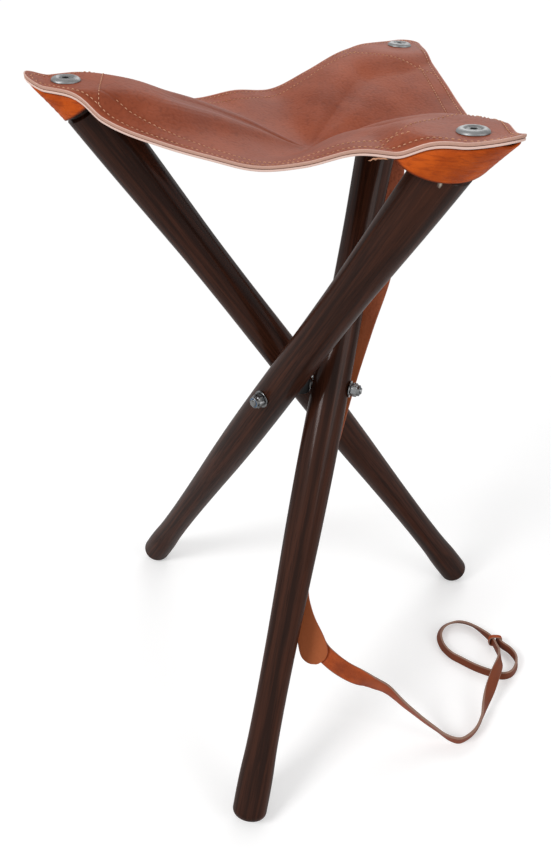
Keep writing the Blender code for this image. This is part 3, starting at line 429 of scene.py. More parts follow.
def lacquered_wood(colours):
    """Dark stain under satin lacquer: long fibres, fine pores and rubbed lighter streaks."""
    stain = colours.wood
    finish = Finish("dark_lacquered_wood", Coat_Weight=0.16, Coat_Roughness=0.13, Specular_IOR_Level=0.04)
    local = finish.vector("local")
    fibre = local.scaled((240.0, 240.0, 7.0)).noise(1.0, 5.0, 0.62, 0.4)
    streak = local.scaled((90.0, 90.0, 2.2)).noise(1.0, 3.0, 0.5)
    pores = local.scaled((1500.0, 1500.0, 34.0)).noise(1.0, 2.0, 0.6)
    pore = pores.step(0.56, 0.70)
    shine = local.scaled((30.0, 30.0, 9.0)).noise(1.0, 3.0)
    tone = fibre.step(0.36, 0.68).mix(tint(stain, 0.60), shade(stain, 1.7, 1.6, 1.5))
    tone = (streak.step(0.48, 0.74) * 0.42).mix(tone, shade(stain, 2.6, 2.2, 1.7))
    tone = (pore * 0.6).mix(tone, tint(stain, 0.35))
    chip = finish.value("chip")
    tone = chip.mix(tone, (0.75, 0.66, 0.55, 1.0))
    rough = 0.30 + shine * 0.16 + pore * 0.12
    height = fibre * 0.5 - pore * 0.6 - chip * 1.5
    return finish.plug(Base_Color=tone, Roughness=rough, Normal=height.bump(0.00010, 0.35))


def seat_leather(colours, sizes):
    """Waxed cowhide: rounded pebbles, broad mottling, pressed seams darkened with painted shade, and pale cut
    edges.
    """
    hide = colours.seat
    finish = Finish("waxed_seat_hide", Specular_IOR_Level=0.12)
    place = finish.place()
    broad = place.noise(16.0, 4.0, 0.55)
    cloud = place.noise(60.0, 3.0, 0.55)
    warp = place.noise(260.0, 2.0, 0.6)
    pebble = place.cells(1.0 / sizes.grain_cell)
    fine = place.noise(1900.0, 2.0, 0.6)
    rim = finish.value("rim")
    seam = finish.value("seam")
    groove = 1.0 - seam.step(0.0, 1.7 * MM)
    inset = finish.value("inset")
    # In the seat this mask is wear alone: a lighter band within 3 mm of the edge.
    wear_and_shade = 1.0 - inset.step(0.3 * MM, 3.0 * MM)
    line = 1.0 - inset.step(0.25 * MM, 0.60 * MM)
    tone = broad.step(0.30, 0.72).mix(shade(hide, 0.80, 0.74, 0.70), shade(hide, 1.22, 1.24, 1.22))
    tone = (cloud.step(0.45, 0.75) * 0.35).mix(tone, shade(hide, 1.34, 1.42, 1.46))
    tone = (pebble.step(0.38, 0.78) * 0.34).mix(tone, shade(hide, 0.50, 0.42, 0.40))
    # Painted shade: the leather is darkened in the pressed grooves along the seams.
    tone = (groove * 0.30).mix(tone, shade(hide, 0.62, 0.55, 0.5))
    tone = (wear_and_shade * 0.35).mix(tone, shade(hide, 1.5, 1.7, 1.8))
    edge = (fine.step(0.35, 0.75) * 0.35).mix(shade(colours.edge, 0.62, 0.50, 0.44), tint(colours.edge, 0.35))
    tone = (line * 0.85).mix(tone, tint(colours.edge, 1.0))
    tone = rim.mix(tone, edge)
    rough = 0.46 + broad * 0.16 + rim * 0.25
    height = pebble * -0.9 + warp * 0.5 + fine * 0.18 - groove * 1.2
    return finish.plug(Base_Color=tone, Roughness=rough, Normal=height.bump(0.00030, 0.60))


def lining_leather(colours):
    """Flesh side of the hide: short nap, fibres and pale cut edges."""
    hide = colours.lining
    finish = Finish("napped_lining_hide", Specular_IOR_Level=0.06)
    place = finish.place()
    nap = place.noise(900.0, 3.0, 0.7)
    cloud = place.noise(34.0, 3.0, 0.55)
    rim = finish.value("rim")
    tone = cloud.step(0.3, 0.7).mix(shade(hide, 0.8, 0.78, 0.75), shade(hide, 1.15, 1.15, 1.15))
    tone = (nap.step(0.45, 0.75) * 0.4).mix(tone, shade(hide, 1.35, 1.4, 1.45))
    tone = rim.mix(tone, tint(colours.edge, 0.85))
    return finish.plug(Base_Color=tone, Roughness=0.72 + nap * 0.2, Normal=nap.bump(0.00025, 0.5))


def pocket_leather(colours):
    """Orange hide drawn round the leg: fine creases across it, darkened with painted shade, pebbles and a
    dark lower rim.
    """
    hide = colours.pocket
    finish = Finish("creased_pocket_hide", Specular_IOR_Level=0.12)
    local = finish.vector("local")
    crease_and_shade = finish.place().scaled((90.0, 90.0, 560.0)).noise(1.0, 3.0, 0.6, 0.9)
    pebble = local.scaled((1.0, 1.0, 1.6)).cells(1.0 / (1.2 * MM))
    cloud = local.noise(70.0, 3.0)
    rim = finish.value("rim")
    tone = cloud.step(0.3, 0.7).mix(shade(hide, 0.80, 0.72, 0.7), shade(hide, 1.12, 1.15, 1.2))
    # Painted shade: the creases are darkened as if shade lay in them.
    tone = (crease_and_shade.step(0.46, 0.70) * 0.62).mix(tone, shade(hide, 0.52, 0.42, 0.5))
    tone = (pebble.step(0.5, 0.85) * 0.25).mix(tone, shade(hide, 0.6, 0.5, 0.6))
    tone = rim.mix(tone, shade(hide, 0.22, 0.22, 0.9))
    height = crease_and_shade * -0.9 - pebble * 0.5
    return finish.plug(Base_Color=tone, Roughness=0.48 + cloud * 0.18, Normal=height.bump(0.00040, 0.6))


def strap_leather(name, colour, edge, cell, depth, rough, dull):
    """Strap hide along its own run: pebbles or smooth wax, darker middle, paler cut edges, and past the first
    stretch a dull tone with flatter grain, which on the tie strap is painted shade.
    """
    finish = Finish(name, Specular_IOR_Level=0.14)
    local = finish.vector("local")
    pebble = local.cells(1.0 / cell)
    cloud = local.scaled((1.0, 1.0, 0.35)).noise(110.0, 3.0, 0.55)
    scuff = local.scaled((700.0, 700.0, 30.0)).noise(1.0, 3.0, 0.6)
    rim = finish.value("rim")
    tone = cloud.step(0.28, 0.72).mix(shade(colour, 0.78, 0.72, 0.70), shade(colour, 1.22, 1.24, 1.2))
    tone = (pebble.step(0.45, 0.85) * 0.6).mix(tone, shade(colour, 0.50, 0.40, 0.40))
    tone = (scuff.step(0.62, 0.78) * 0.3).mix(tone, shade(colour, 1.5, 1.7, 1.8))
    # Past 0.10 to 0.24 m along the run the tone turns dull and the grain flattens: on the tie strap the dull
    # tone is painted shade for the stretch on the floor and the loop; on the carry strap it is a more orange
    # lower stretch.
    wear_and_shade = local.node("ShaderNodeSeparateXYZ", None, {0: local}, 2).step(0.10, 0.24)
    tone = (wear_and_shade * 0.82).mix(tone, dull)
    tone = rim.mix(tone, edge)
    height = (pebble * -1.0 + scuff * 0.15) * (1.0 - wear_and_shade * 0.85)
    return finish.plug(Base_Color=tone, Roughness=rough + cloud * 0.15, Normal=height.bump(depth, 0.7))


def plated_steel(name, colour, rough, stain):
    """Plated metal: brushed haze, hairline scratches and dull stains."""
    finish = Finish(name, Metallic=1.0)
    place = finish.place()
    haze = place.noise(420.0, 4.0, 0.6)
    hair = place.scaled((2600.0, 900.0, 5200.0)).noise(1.0, 2.0, 0.5)
    dull = place.noise(140.0, 3.0).step(0.45, 0.75)
    tone = (dull * stain).mix(tint(colour, 1.0), shade(colour, 0.42, 0.40, 0.38))
    tone = (hair.step(0.6, 0.75) * 0.25).mix(tone, tint(colour, 1.3))
    grain = rough + haze * 0.14 + dull * 0.12
    return finish.plug(Base_Color=tone, Roughness=grain, Normal=hair.bump(0.00002, 0.3))


def moulded_nylon(colours):
    """Translucent-looking nylon with a fine moulded haze."""
    finish = Finish("moulded_nylon", Specular_IOR_Level=0.45)
    haze = finish.place().noise(800.0, 3.0)
    tone = haze.mix(tint(colours.nylon, 0.8), tint(colours.nylon, 1.25))
    return finish.plug(Base_Color=tone, Roughness=0.38 + haze * 0.14, Normal=haze.bump(0.00003, 0.4))


def sewing_thread(colours):
    """Waxed thread: plies that wind round it and a soiled tone here and there."""
    finish = Finish("sewing_thread", Specular_IOR_Level=0.25)
    place = finish.place()
    ply = place.noise(2600.0, 2.0, 0.6)
    soil = place.noise(70.0, 3.0).step(0.35, 0.75)
    tone = soil.mix(tint(colours.thread, 1.1), shade(colours.thread, 0.72, 0.62, 0.55))
    tone = (ply.step(0.4, 0.7) * 0.4).mix(tone, tint(colours.thread, 0.6))
    return finish.plug(Base_Color=tone, Roughness=0.7 + ply * 0.1, Normal=ply.bump(0.00008, 0.6))


def look(name):
    """The finish of that name, made the first time it is asked for."""
    found = bpy.data.materials.get(name)
    if found:
        return found
    colours = bpy.context.scene.stool.colours
    sizes = bpy.context.scene.stool.sizes
    makers = {
        "dark_lacquered_wood": lambda: lacquered_wood(colours),
        "waxed_seat_hide": lambda: seat_leather(colours, sizes),
        "napped_lining_hide": lambda: lining_leather(colours),
        "creased_pocket_hide": lambda: pocket_leather(colours),
        "pebbled_strap_hide": lambda: strap_leather(
            name, colours.strap, shade(colours.strap, 0.85, 0.75, 0.65), 2.0 * MM, 0.00045, 0.46,
            shade(colours.strap, 1.0, 0.95, 0.55)),
        "smooth_tie_hide": lambda: strap_leather(
            name, colours.tie, shade(colours.edge, 0.34, 0.28, 0.24), 0.8 * MM, 0.00010, 0.40,
            # The tie strap's dull tone further along its run is painted shade.
            shade(colours.tie, 0.42, 0.66, 1.4)),
        "nickel_cup": lambda: plated_steel(name, tint(colours.steel, 0.55)[:3], 0.36, 0.45),
        "zinc_steel": lambda: plated_steel(name, tint(colours.steel, 0.58)[:3], 0.18, 0.6),
        "dull_steel": lambda: plated_steel(name, tint(colours.steel, 0.22)[:3], 0.34, 0.5),
        "moulded_nylon": lambda: moulded_nylon(colours),
        "sewing_thread": lambda: sewing_thread(colours),
    }
    return makers[name]()


def unit(vectors):
    """Vectors of length 1 along the given ones."""
    return vectors / np.linalg.norm(vectors, axis=-1, keepdims=True)


def powered(x, power):
    """Power of the size of x, with the sign of x."""
    return np.sign(x) * np.abs(x) ** power


def move(matrix, points):
    """Points in the world from points in a frame."""
    return points @ matrix[:3, :3].T + matrix[:3, 3]


def quads(rows, columns, closed=False):
    """Faces of a grid of points, closed around its columns or not."""
    i = np.arange(rows - 1)[:, None]
    j = np.arange(columns if closed else columns - 1)[None, :]
    low = i * columns + j
    high = i * columns + (j + 1) % columns
    return np.stack([low, high, high + columns, low + columns], axis=-1).reshape(-1, 4)


def make_piece(name, points, faces, finish, sharp=40.0, outward=True, **values):
    """Mesh object of points and faces; poles merge, faces turn outward, values ride on vertices."""
    mesh = bpy.data.meshes.new(name)
    mesh.from_pydata(np.asarray(points).tolist(), [], np.asarray(faces).tolist())
    for key, array in values.items():
        wide = np.ndim(array) > 1
        layer = mesh.attributes.new(key, "FLOAT_VECTOR" if wide else "FLOAT", "POINT")
        layer.data.foreach_set("vector" if wide else "value", np.ravel(array).astype(np.float32))
    work = bmesh.new()
    work.from_mesh(mesh)
    bmesh.ops.remove_doubles(work, verts=work.verts[:], dist=1e-6)
    bmesh.ops.dissolve_degenerate(work, edges=work.edges[:], dist=1e-8)
    if outward:
        bmesh.ops.recalc_face_normals(work, faces=work.faces[:])
    work.to_mesh(mesh)
    work.free()
    mesh.shade_smooth()
    mesh.set_sharp_from_angle(angle=math.radians(sharp))
    item = bpy.data.objects.new(name, mesh)
    bpy.context.scene.collection.objects.link(item)
    mesh.materials.append(look(finish))
    return item


def turned(radii, heights, sides, matrix, limit=None):
    """Profile of radii and heights turned about Z: (r cos a, r sin a, z), r no more than limit(a)."""
    angle = np.linspace(0.0, 2.0 * math.pi, sides, endpoint=False)[None, :]
    radius = np.asarray(radii, dtype=float)[:, None] * np.ones_like(angle)
    if limit is not None:
        radius = np.minimum(radius, limit(angle))
    height = np.asarray(heights, dtype=float)[:, None] * np.ones_like(angle)
    points = np.stack([radius * np.cos(angle), radius * np.sin(angle), height], axis=-1)
    return move(matrix, points.reshape(-1, 3)), quads(len(radii), sides, True)


def hexagon(flats, turn=0.0):
    """Radius of a hexagon across its flats at each angle, a corner at the turn."""
    return lambda angle: 0.5 * flats / np.cos((angle - turn) % (math.pi / 3.0) - math.pi / 6.0)


def smoothstep(x, start, run):
    """Cubic ease from 0 at the start to 1 a run further on."""
    x = np.clip((x - start) / run, 0.0, 1.0)
    return x * x * (3.0 - 2.0 * x)


def through(x, places, values):
    """Smooth curve through values at the given places: cubic pieces that share slopes."""
    places = np.array(places)
    values = np.array(values)
    slopes = np.gradient(values, places)
    i = np.clip(np.searchsorted(places, x) - 1, 0, len(places) - 2)
    width = places[i + 1] - places[i]
    t = (x - places[i]) / width
    start = (1.0 + 2.0 * t) * (1.0 - t) ** 2 * values[i] + t * (1.0 - t) ** 2 * width * slopes[i]
    return start + t * t * (3.0 - 2.0 * t) * values[i + 1] - t * t * (1.0 - t) * width * slopes[i + 1]


def lengths(path):
    """Run of a path from its start to each of its points."""
    return np.concatenate([[0.0], np.cumsum(np.linalg.norm(np.diff(path, axis=0), axis=1))])


def smooth_route(points, count):
    """Even samples of a centripetal curve through the route points."""
    p = np.asarray(points, dtype=float)
    p = np.vstack([2.0 * p[0] - p[1], p, 2.0 * p[-1] - p[-2]])
    knot = np.concatenate([[0.0], np.cumsum(np.sqrt(np.linalg.norm(np.diff(p, axis=0), axis=1)))])
    u = np.linspace(0.0, 1.0, ROUTE_SAMPLES)[None, :, None]
    a, b, c, d = p[:-3, None], p[1:-2, None], p[2:-1, None], p[3:, None]
    t0, t1, t2, t3 = (knot[i:len(knot) - 3 + i, None, None] for i in range(4))
    t = t1 + u * (t2 - t1)
    ab = (t1 - t) / (t1 - t0) * a + (t - t0) / (t1 - t0) * b
    bc = (t2 - t) / (t2 - t1) * b + (t - t1) / (t2 - t1) * c
    cd = (t3 - t) / (t3 - t2) * c + (t - t2) / (t3 - t2) * d
    left = (t2 - t) / (t2 - t0) * ab + (t - t0) / (t2 - t0) * bc
    right = (t3 - t) / (t3 - t1) * bc + (t - t1) / (t3 - t1) * cd
    fine = ((t2 - t) / (t2 - t1) * left + (t - t1) / (t2 - t1) * right).reshape(-1, 3)
    along = lengths(fine)
    want = np.linspace(0.0, along[-1], count)
    return np.stack([np.interp(want, along, fine[:, i]) for i in range(3)], axis=1)


def leg_share(station):
    """Radius of the turned leg at a share of its length from the top."""
    return np.interp(station, LEG_STATIONS, LEG_SHARES) * LEG_RADIUS


BOLT_RADIUS = float(leg_share(LEG_ABOVE_BOLT / LEG_LENGTH))
BOLT_REACH = HUB_APOTHEM + WASHER_THICK + 2.0 * GAP + BOLT_RADIUS


def leg_in_bolt(name):
    """Frame of a leg in the bolt's frame: X along its stud, Z up the leg, origin on the stud."""
    heading, swing = HEADING[name], SWING[name]
    radial = np.array([math.cos(heading), math.sin(heading), 0.0])
    up = np.array([0.0, 0.0, 1.0])
    matrix = np.eye(4)
    matrix[:3, 0] = math.sin(heading), -math.cos(heading), 0.0
    matrix[:3, 1] = math.cos(swing) * radial - math.sin(swing) * up
    matrix[:3, 2] = math.sin(swing) * radial + math.cos(swing) * up
    matrix[:3, 3] = matrix[:3, 0] * BOLT_REACH
    return matrix


LEGS = {name: leg_in_bolt(name) for name in NAMES}


def bolt_in_world():
    """World frame of the bolt: the frame in which the studs lie along the joints' axes."""
    first, second = (np.array(JOINTS["fold_" + n]["axis"], dtype=float) for n in NAMES[:2])
    own_a, own_b = LEGS["left"][:3, 0], LEGS["right"][:3, 0]
    world = np.column_stack([first, second, np.cross(first, second)])
    own = np.column_stack([own_a, own_b, np.cross(own_a, own_b)])
    u, _, v = np.linalg.svd(world @ np.linalg.inv(own))
    matrix = np.eye(4)
    matrix[:3, :3] = u @ v
    spots = [np.array(JOINTS["fold_" + n]["pos_m"]) - matrix[:3, :3] @ LEGS[n][:3, 3] for n in NAMES]
    matrix[:3, 3] = np.mean(spots, axis=0)
    return matrix


BOLT = bolt_in_world()
FLOOR = np.array([BOLT[0, 3], BOLT[1, 3], 0.0])
LEG_WORLD = {name: BOLT @ LEGS[name] for name in NAMES}


def corner_matrix(name):
    """Frame of a corner fastener in its leg's frame: origin on the sawn top, Z out of it."""
    top = Matrix.Translation((0.0, 0.0, LEG_ABOVE_BOLT)) @ Matrix.Rotation(TOP_CUT, 4, "X")
    return np.array(top @ Matrix.Translation((*CORNER_SHIFT[name], 0.0)))


CORNERS = {name: LEG_WORLD[name] @ corner_matrix(name) for name in NAMES}
TOPS = [(LEGS[n] @ corner_matrix(n))[:3, 3] for n in NAMES]
ENDS = [move(LEGS[n], np.array([0.0, 0.0, LEG_ABOVE_BOLT])) for n in NAMES]
NORMALS = [(LEGS[n] @ corner_matrix(n))[:3, 2] for n in NAMES]
CENTRE = sum(TOPS) / 3.0 - np.array([0.0, 0.0, CENTRE_SAG - SEAT_STACK])


def inward(k):
    """Plan direction from corner k to the middle of the seat."""
    to_a = TOPS[(k + 1) % 3][:2] - TOPS[k][:2]
    to_b = TOPS[(k + 2) % 3][:2] - TOPS[k][:2]
    return unit(unit(to_a) + unit(to_b))


INWARD = [inward(k) for k in range(3)]


def flap_height(k, x, y):
    """Height of the seat over one leg top: flat on the wood, its tip curled up."""
    n = NORMALS[k]
    p = TOPS[k] + n * SEAT_STACK
    reach = -(INWARD[k][0] * (x - p[0]) + INWARD[k][1] * (y - p[1]))
    flat = CUP_RADIUS + CURL_EASE
    curl = np.clip((reach - flat) / (TIP_REACH[NAMES[k]] - flat), 0.0, 1.2) ** CURL_POWER
    return p[2] - (n[0] * (x - p[0]) + n[1] * (y - p[1])) / n[2] + TIP_CURL[NAMES[k]] * curl


def leg_distance(k, plan):
    """Distance of plan points on the sawn top from the axis of leg k, square to the leg."""
    away = plan - ENDS[k][:2]
    heading = HEADING[NAMES[k]]
    across = away[..., 0] * math.sin(heading) - away[..., 1] * math.cos(heading)
    radial = away[..., 0] * math.cos(heading) + away[..., 1] * math.sin(heading)
    return np.hypot(across, radial * math.cos(TOP_CUT))


def outline_piece(k):
    """Plan of the seat's edge from tip k to the next: an arc, a bowed run and an arc."""
    mids = [TOPS[i][:2] - INWARD[i] * (TIP_REACH[NAMES[i]] - TIP_RADIUS) for i in range(3)]
    tips = [math.atan2(-INWARD[i][1], -INWARD[i][0]) for i in range(3)]
    j = (k + 1) % 3
    run = unit(mids[j] - mids[k])
    out = np.array([run[1], -run[0]])
    side = math.atan2(out[1], out[0])
    t = np.linspace(0.0, 1.0, ARC_SAMPLES)[:, None]
    first = tips[k] + t * ((side - tips[k]) % (2.0 * math.pi))
    last = side + t * ((tips[j] - side) % (2.0 * math.pi))
    u = np.linspace(0.0, 1.0, RUN_SAMPLES + 2)[1:-1, None]
    bow = EDGE_BOW[NAMES[k]] * np.sin(math.pi * u) ** 2
    edge = mids[k] + u * (mids[j] - mids[k]) + out * (TIP_RADIUS - bow)
    arc_a = mids[k] + TIP_RADIUS * np.hstack([np.cos(first), np.sin(first)])
    arc_b = mids[j] + TIP_RADIUS * np.hstack([np.cos(last), np.sin(last)])
    path = np.vstack([arc_a, edge, arc_b])
    return lengths(path), path


PIECES = [outline_piece(k) for k in range(3)]


def outline(q):
    """Edge of the seat at q: whole numbers are the tips, halves the middles of the edges."""
    q = np.asarray(q, dtype=float) % 3.0
    k = np.minimum(q.astype(int), 2)
    point = np.zeros(q.shape + (3,))
    for i in range(3):
        pick = k == i
        f = q[pick] - i
        along, path = PIECES[i]
        x = np.interp(f * along[-1], along, path[:, 0])
        y = np.interp(f * along[-1], along, path[:, 1])
        mix = smoothstep(f, 0.2, 0.6)
        z = flap_height(i, x, y) * (1.0 - mix) + flap_height((i + 1) % 3, x, y) * mix
        z = z - through(f, DROOP_AT, EDGE_DROOP[NAMES[i]]) * MM
        point[pick] = np.stack([x, y, z], axis=-1)
    return point


def rim_table():
    """Places round the seat's edge, with their angles about its middle and their heights."""
    q = np.linspace(0.0, 3.0, 3 * EDGE_SAMPLES + 1)
    rim = outline(np.minimum(q, 3.0 - 1e-6))
    angle = np.unwrap(np.arctan2(rim[:, 1] - CENTRE[1], rim[:, 0] - CENTRE[0]))
    return q, angle, rim[:, 2]


RIM_Q, RIM_ANGLE, RIM_HEIGHT = rim_table()
TIP_ANGLE = RIM_ANGLE[::EDGE_SAMPLES]


def soft_rim(angle, spread):
    """Height of the edge averaged over a spread of angles, which widens the ridges inside the seat."""
    offsets = np.linspace(-1.0, 1.0, 13)
    weights = np.cos(0.475 * math.pi * offsets) ** 2
    total = np.zeros_like(angle)
    for offset, weight in zip(offsets, weights / weights.sum()):
        around = (angle + spread * offset - RIM_ANGLE[0]) % (2.0 * math.pi)
        total = total + weight * np.interp(RIM_ANGLE[0] + around, RIM_ANGLE, RIM_HEIGHT)
    return total


def seat_top(r, q):
    """Top of the leather at share r of the way from the middle to the edge at q.

    A ridge runs from each corner to the low middle, z = low + (rim - low) (1 - (1 - r) ** power), with
    a high power on the ridges and a low one in the valleys, and lies flat on each leg top."""
    r, q = np.broadcast_arrays(np.asarray(r, dtype=float), np.asarray(q, dtype=float) % 3.0)
    rim = outline(q)
    plan = CENTRE[:2] + r[..., None] * (rim[..., :2] - CENTRE[:2])
    angle = np.interp(q, RIM_Q, RIM_ANGLE)
    k = np.minimum(q.astype(int), 2)
    part = (angle - TIP_ANGLE[k]) / (TIP_ANGLE[k + 1] - TIP_ANGLE[k])
    ridge = np.array([RIDGE_POWER[name] for name in NAMES])[np.round(k + part).astype(int) % 3]
    power = VALLEY_POWER + (ridge - VALLEY_POWER) * np.cos(math.pi * part) ** 2
    out = (np.hypot(r, CENTRE_ROUND) - CENTRE_ROUND) / (math.hypot(1.0, CENTRE_ROUND) - CENTRE_ROUND)
    rise = soft_rim(angle, RIDGE_SPREAD * np.maximum(1.0 - r, 0.0) ** RIDGE_FADE) - CENTRE[2]
    z = CENTRE[2] + rise * (1.0 - np.maximum(1.0 - out, 0.0) ** power)
    for i in range(3):
        fade = FLAT_FADE + FLAT_MORE * (1.0 - r)
        hold = 1.0 - smoothstep(leg_distance(i, plan), FLAT_RADIUS, fade)
        z = z * (1.0 - hold) + flap_height(i, plan[..., 0], plan[..., 1]) * hold
    return np.concatenate([plan, z[..., None]], axis=-1)


def seat_on(plan):
    """Top of the leather over plan points: q from the angle about the middle, r from the distance."""
    away = plan - CENTRE[:2]
    angle = np.arctan2(away[..., 1], away[..., 0])
    angle = RIM_ANGLE[0] + (angle - RIM_ANGLE[0]) % (2.0 * math.pi)
    q = np.interp(angle, RIM_ANGLE, RIM_Q)
    edge = outline(q)[..., :2] - CENTRE[:2]
    return seat_top(np.linalg.norm(away, axis=-1) / np.linalg.norm(edge, axis=-1), q)


def seat_normal(plan):
    """Upward normal of the leather over plan points, from its slopes."""
    step = 0.5 * MM
    east = seat_on(plan + [step, 0.0]) - seat_on(plan - [step, 0.0])
    north = seat_on(plan + [0.0, step]) - seat_on(plan - [0.0, step])
    return unit(np.cross(east, north))


def inset_row(k, inset, first, last):
    """Plan of a line beside edge k, inset square to the rim, between two shares of the edge."""
    f = np.linspace(first, last, ROW_SAMPLES)
    rim = outline(k + f)[:, :2]
    run = unit(np.gradient(rim, axis=0))
    return rim + inset * np.stack([-run[:, 1], run[:, 0]], axis=1)


def corner_row(k):
    """Plan of the straight seam across corner k, between the seams along its two edges."""
    want = CORNER_ROW[NAMES[k]]
    tip = outline(np.array([float(k)]))[0, :2]
    ends = []
    for side in (-1.0, 1.0):
        f = np.linspace(0.02, 0.45, 600)
        rim = outline((k + side * f) % 3.0)[:, :2]
        depth = (rim - tip) @ INWARD[k]
        spot = np.array([np.interp(want, depth, rim[:, 0]), np.interp(want, depth, rim[:, 1])])
        middle = tip + INWARD[k] * want
        ends.append(spot + unit(middle - spot) * SEAM_ROW)
    return ends[0] + np.linspace(0.0, 1.0, 300)[:, None] * (ends[1] - ends[0])


def seam_rows(k):
    """Plans of the sewn lines on lobe k: along the two edges that meet there, and across the corner."""
    before = (k + 2) % 3
    start, end = SECOND_ROW_ENDS
    rows = [inset_row(before, SEAM_ROW, 0.5, 0.9999), inset_row(k, SEAM_ROW, 0.0, 0.5)]
    rows += [inset_row(before, SECOND_ROW, 0.5, end), inset_row(k, SECOND_ROW, start, 0.5)]
    return rows + [corner_row(k)]


def lobe_reach(k):
    """Points between which lobe k would turn from its leg to the bolt: LOBE_HOLD in from the leg top, and the
    least inward reach of its side borders.
    """
    r = np.linspace(0.0, 1.0, ARC_SAMPLES)
    border = np.vstack([seat_top(r, (k + side) % 3.0) for side in (-0.5, 0.5)])
    way = np.append(INWARD[k], 0.0)
    near = float(((border - TOPS[k]) @ way).min())
    start = TOPS[k] + way * LOBE_HOLD
    end = TOPS[k] + way * near
    return move(BOLT, start), move(BOLT, end)


def bend_with_leg(item, k):
    """Bake the place of a piece of the seat into its mesh; the span over which it would turn from leg k to
    the bolt is found but not used.
    """
    start, end = lobe_reach(k)
    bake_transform(item)


def nearest(points, targets):
    """Distance from each point to the nearest target, in blocks to spare memory."""
    blocks = np.array_split(points, max(1, len(points) // 2000))
    return np.concatenate([np.sqrt(((b[:, None] - targets[None]) ** 2).sum(-1).min(1)) for b in blocks])


def sewing_marks(k, plan):
    """Distances of plan points on lobe k from the seat's edge and from the nearest sewn line."""
    inset = nearest(plan, outline((k + np.linspace(-0.62, 0.62, 700)) % 3.0)[:, :2])
    tip = outline(np.array([float(k)]))[0, :2]
    past = (plan - tip) @ INWARD[k] - CORNER_ROW[NAMES[k]]
    second = np.where(past > 0.0, np.abs(inset - SECOND_ROW), np.inf)
    across = np.where(inset > SEAM_ROW, np.abs(past), np.inf)
    return inset, np.minimum(np.abs(inset - SEAM_ROW), np.minimum(second, across))


def swell(plan):
    """Slow waves of much-used leather: three crossed sines a third of a millimetre high."""
    x, y = plan[..., 0], plan[..., 1]
    waves = np.sin(110.0 * x + 40.0 * y + 0.6) + np.sin(95.0 * y - 60.0 * x) + np.sin(170.0 * (x + y) + 1.9)
    return SWELL * waves


def lobe(k, high, low, rows, columns):
    """Closed third of a leather layer: top from the middle to the rim, round its edge and back below."""
    r = 1.0 - (1.0 - np.linspace(0.0, 1.0, rows)) ** ROW_CROWD
    q = k + np.linspace(-0.5, 0.5, columns)
    top = seat_top(r[:, None], q[None, :])
    top[..., 2] += swell(top[..., :2]) * (1.0 - r[:, None] ** 8)
    half = 0.5 * (low - high)
    turn = np.linspace(0.5 * math.pi, -0.5 * math.pi, 9)[1:-1]
    out = unit(top[-1, :, :2] - top[-2, :, :2])
    edge = np.repeat(top[-1][None], len(turn), axis=0)
    edge[..., :2] += EDGE_BULGE * np.cos(turn)[:, None, None] * out[None]
    edge[..., 2] += -high - half + half * np.sin(turn)[:, None]
    upper = top - [0.0, 0.0, high]
    lower = top[::-1] - [0.0, 0.0, low]
    points = np.concatenate([upper, edge, lower], axis=0)
    count = len(points)
    faces = quads(count, columns)
    i = np.arange(count // 2)
    j = count - 1 - i
    sides = [np.stack([i[:-1], i[1:], j[1:], j[:-1]], axis=1) * columns + c for c in (0, columns - 1)]
    rim = np.concatenate([np.zeros(rows), np.ones(len(turn)), np.zeros(rows)])
    rim = np.repeat(rim[:, None], columns, axis=1)
    return points.reshape(-1, 3), np.vstack([faces, *sides]), rim.ravel()


def capsules(line, normals, pitch, length, radius):
    """Stitches on a line: threads along it, thick in the middle, whose ends dive into the leather."""
    run = lengths(line)
    count = max(1, int(run[-1] / pitch))
    t = np.linspace(-0.5, 0.5, STITCH_ROWS)
    s = (np.arange(count)[:, None] + 0.5) * run[-1] / count + t * length

    def along(values):
        return np.stack([np.interp(s, run, values[:, i]) for i in range(3)], axis=-1)

    middle, up = along(line), along(normals)
    side = np.cross(up, unit(along(np.gradient(line, axis=0))))
    thick = radius * np.sqrt(np.clip(1.0 - (2.0 * t) ** 4, 0.0, 1.0))
    middle = middle + up * (radius * (0.55 - 1.2 * (2.0 * t) ** 2))[None, :, None]
    angle = np.linspace(0.0, 2.0 * math.pi, STITCH_SIDES, endpoint=False)
    ring = np.cos(angle)[:, None] * side[:, :, None, :] + np.sin(angle)[:, None] * up[:, :, None, :]
    points = middle[:, :, None, :] + thick[None, :, None, None] * ring
    starts = np.arange(count) * STITCH_ROWS * STITCH_SIDES
    faces = quads(STITCH_ROWS, STITCH_SIDES, True)[None] + starts[:, None, None]
    return points.reshape(-1, 3), faces.reshape(-1, 4)


def join(blocks):
    """Blocks of points and faces as one block."""
    starts = np.cumsum([0] + [len(points) for points, _ in blocks[:-1]])
    return np.vstack([b[0] for b in blocks]), np.vstack([b[1] + s for b, s in zip(blocks, starts)])


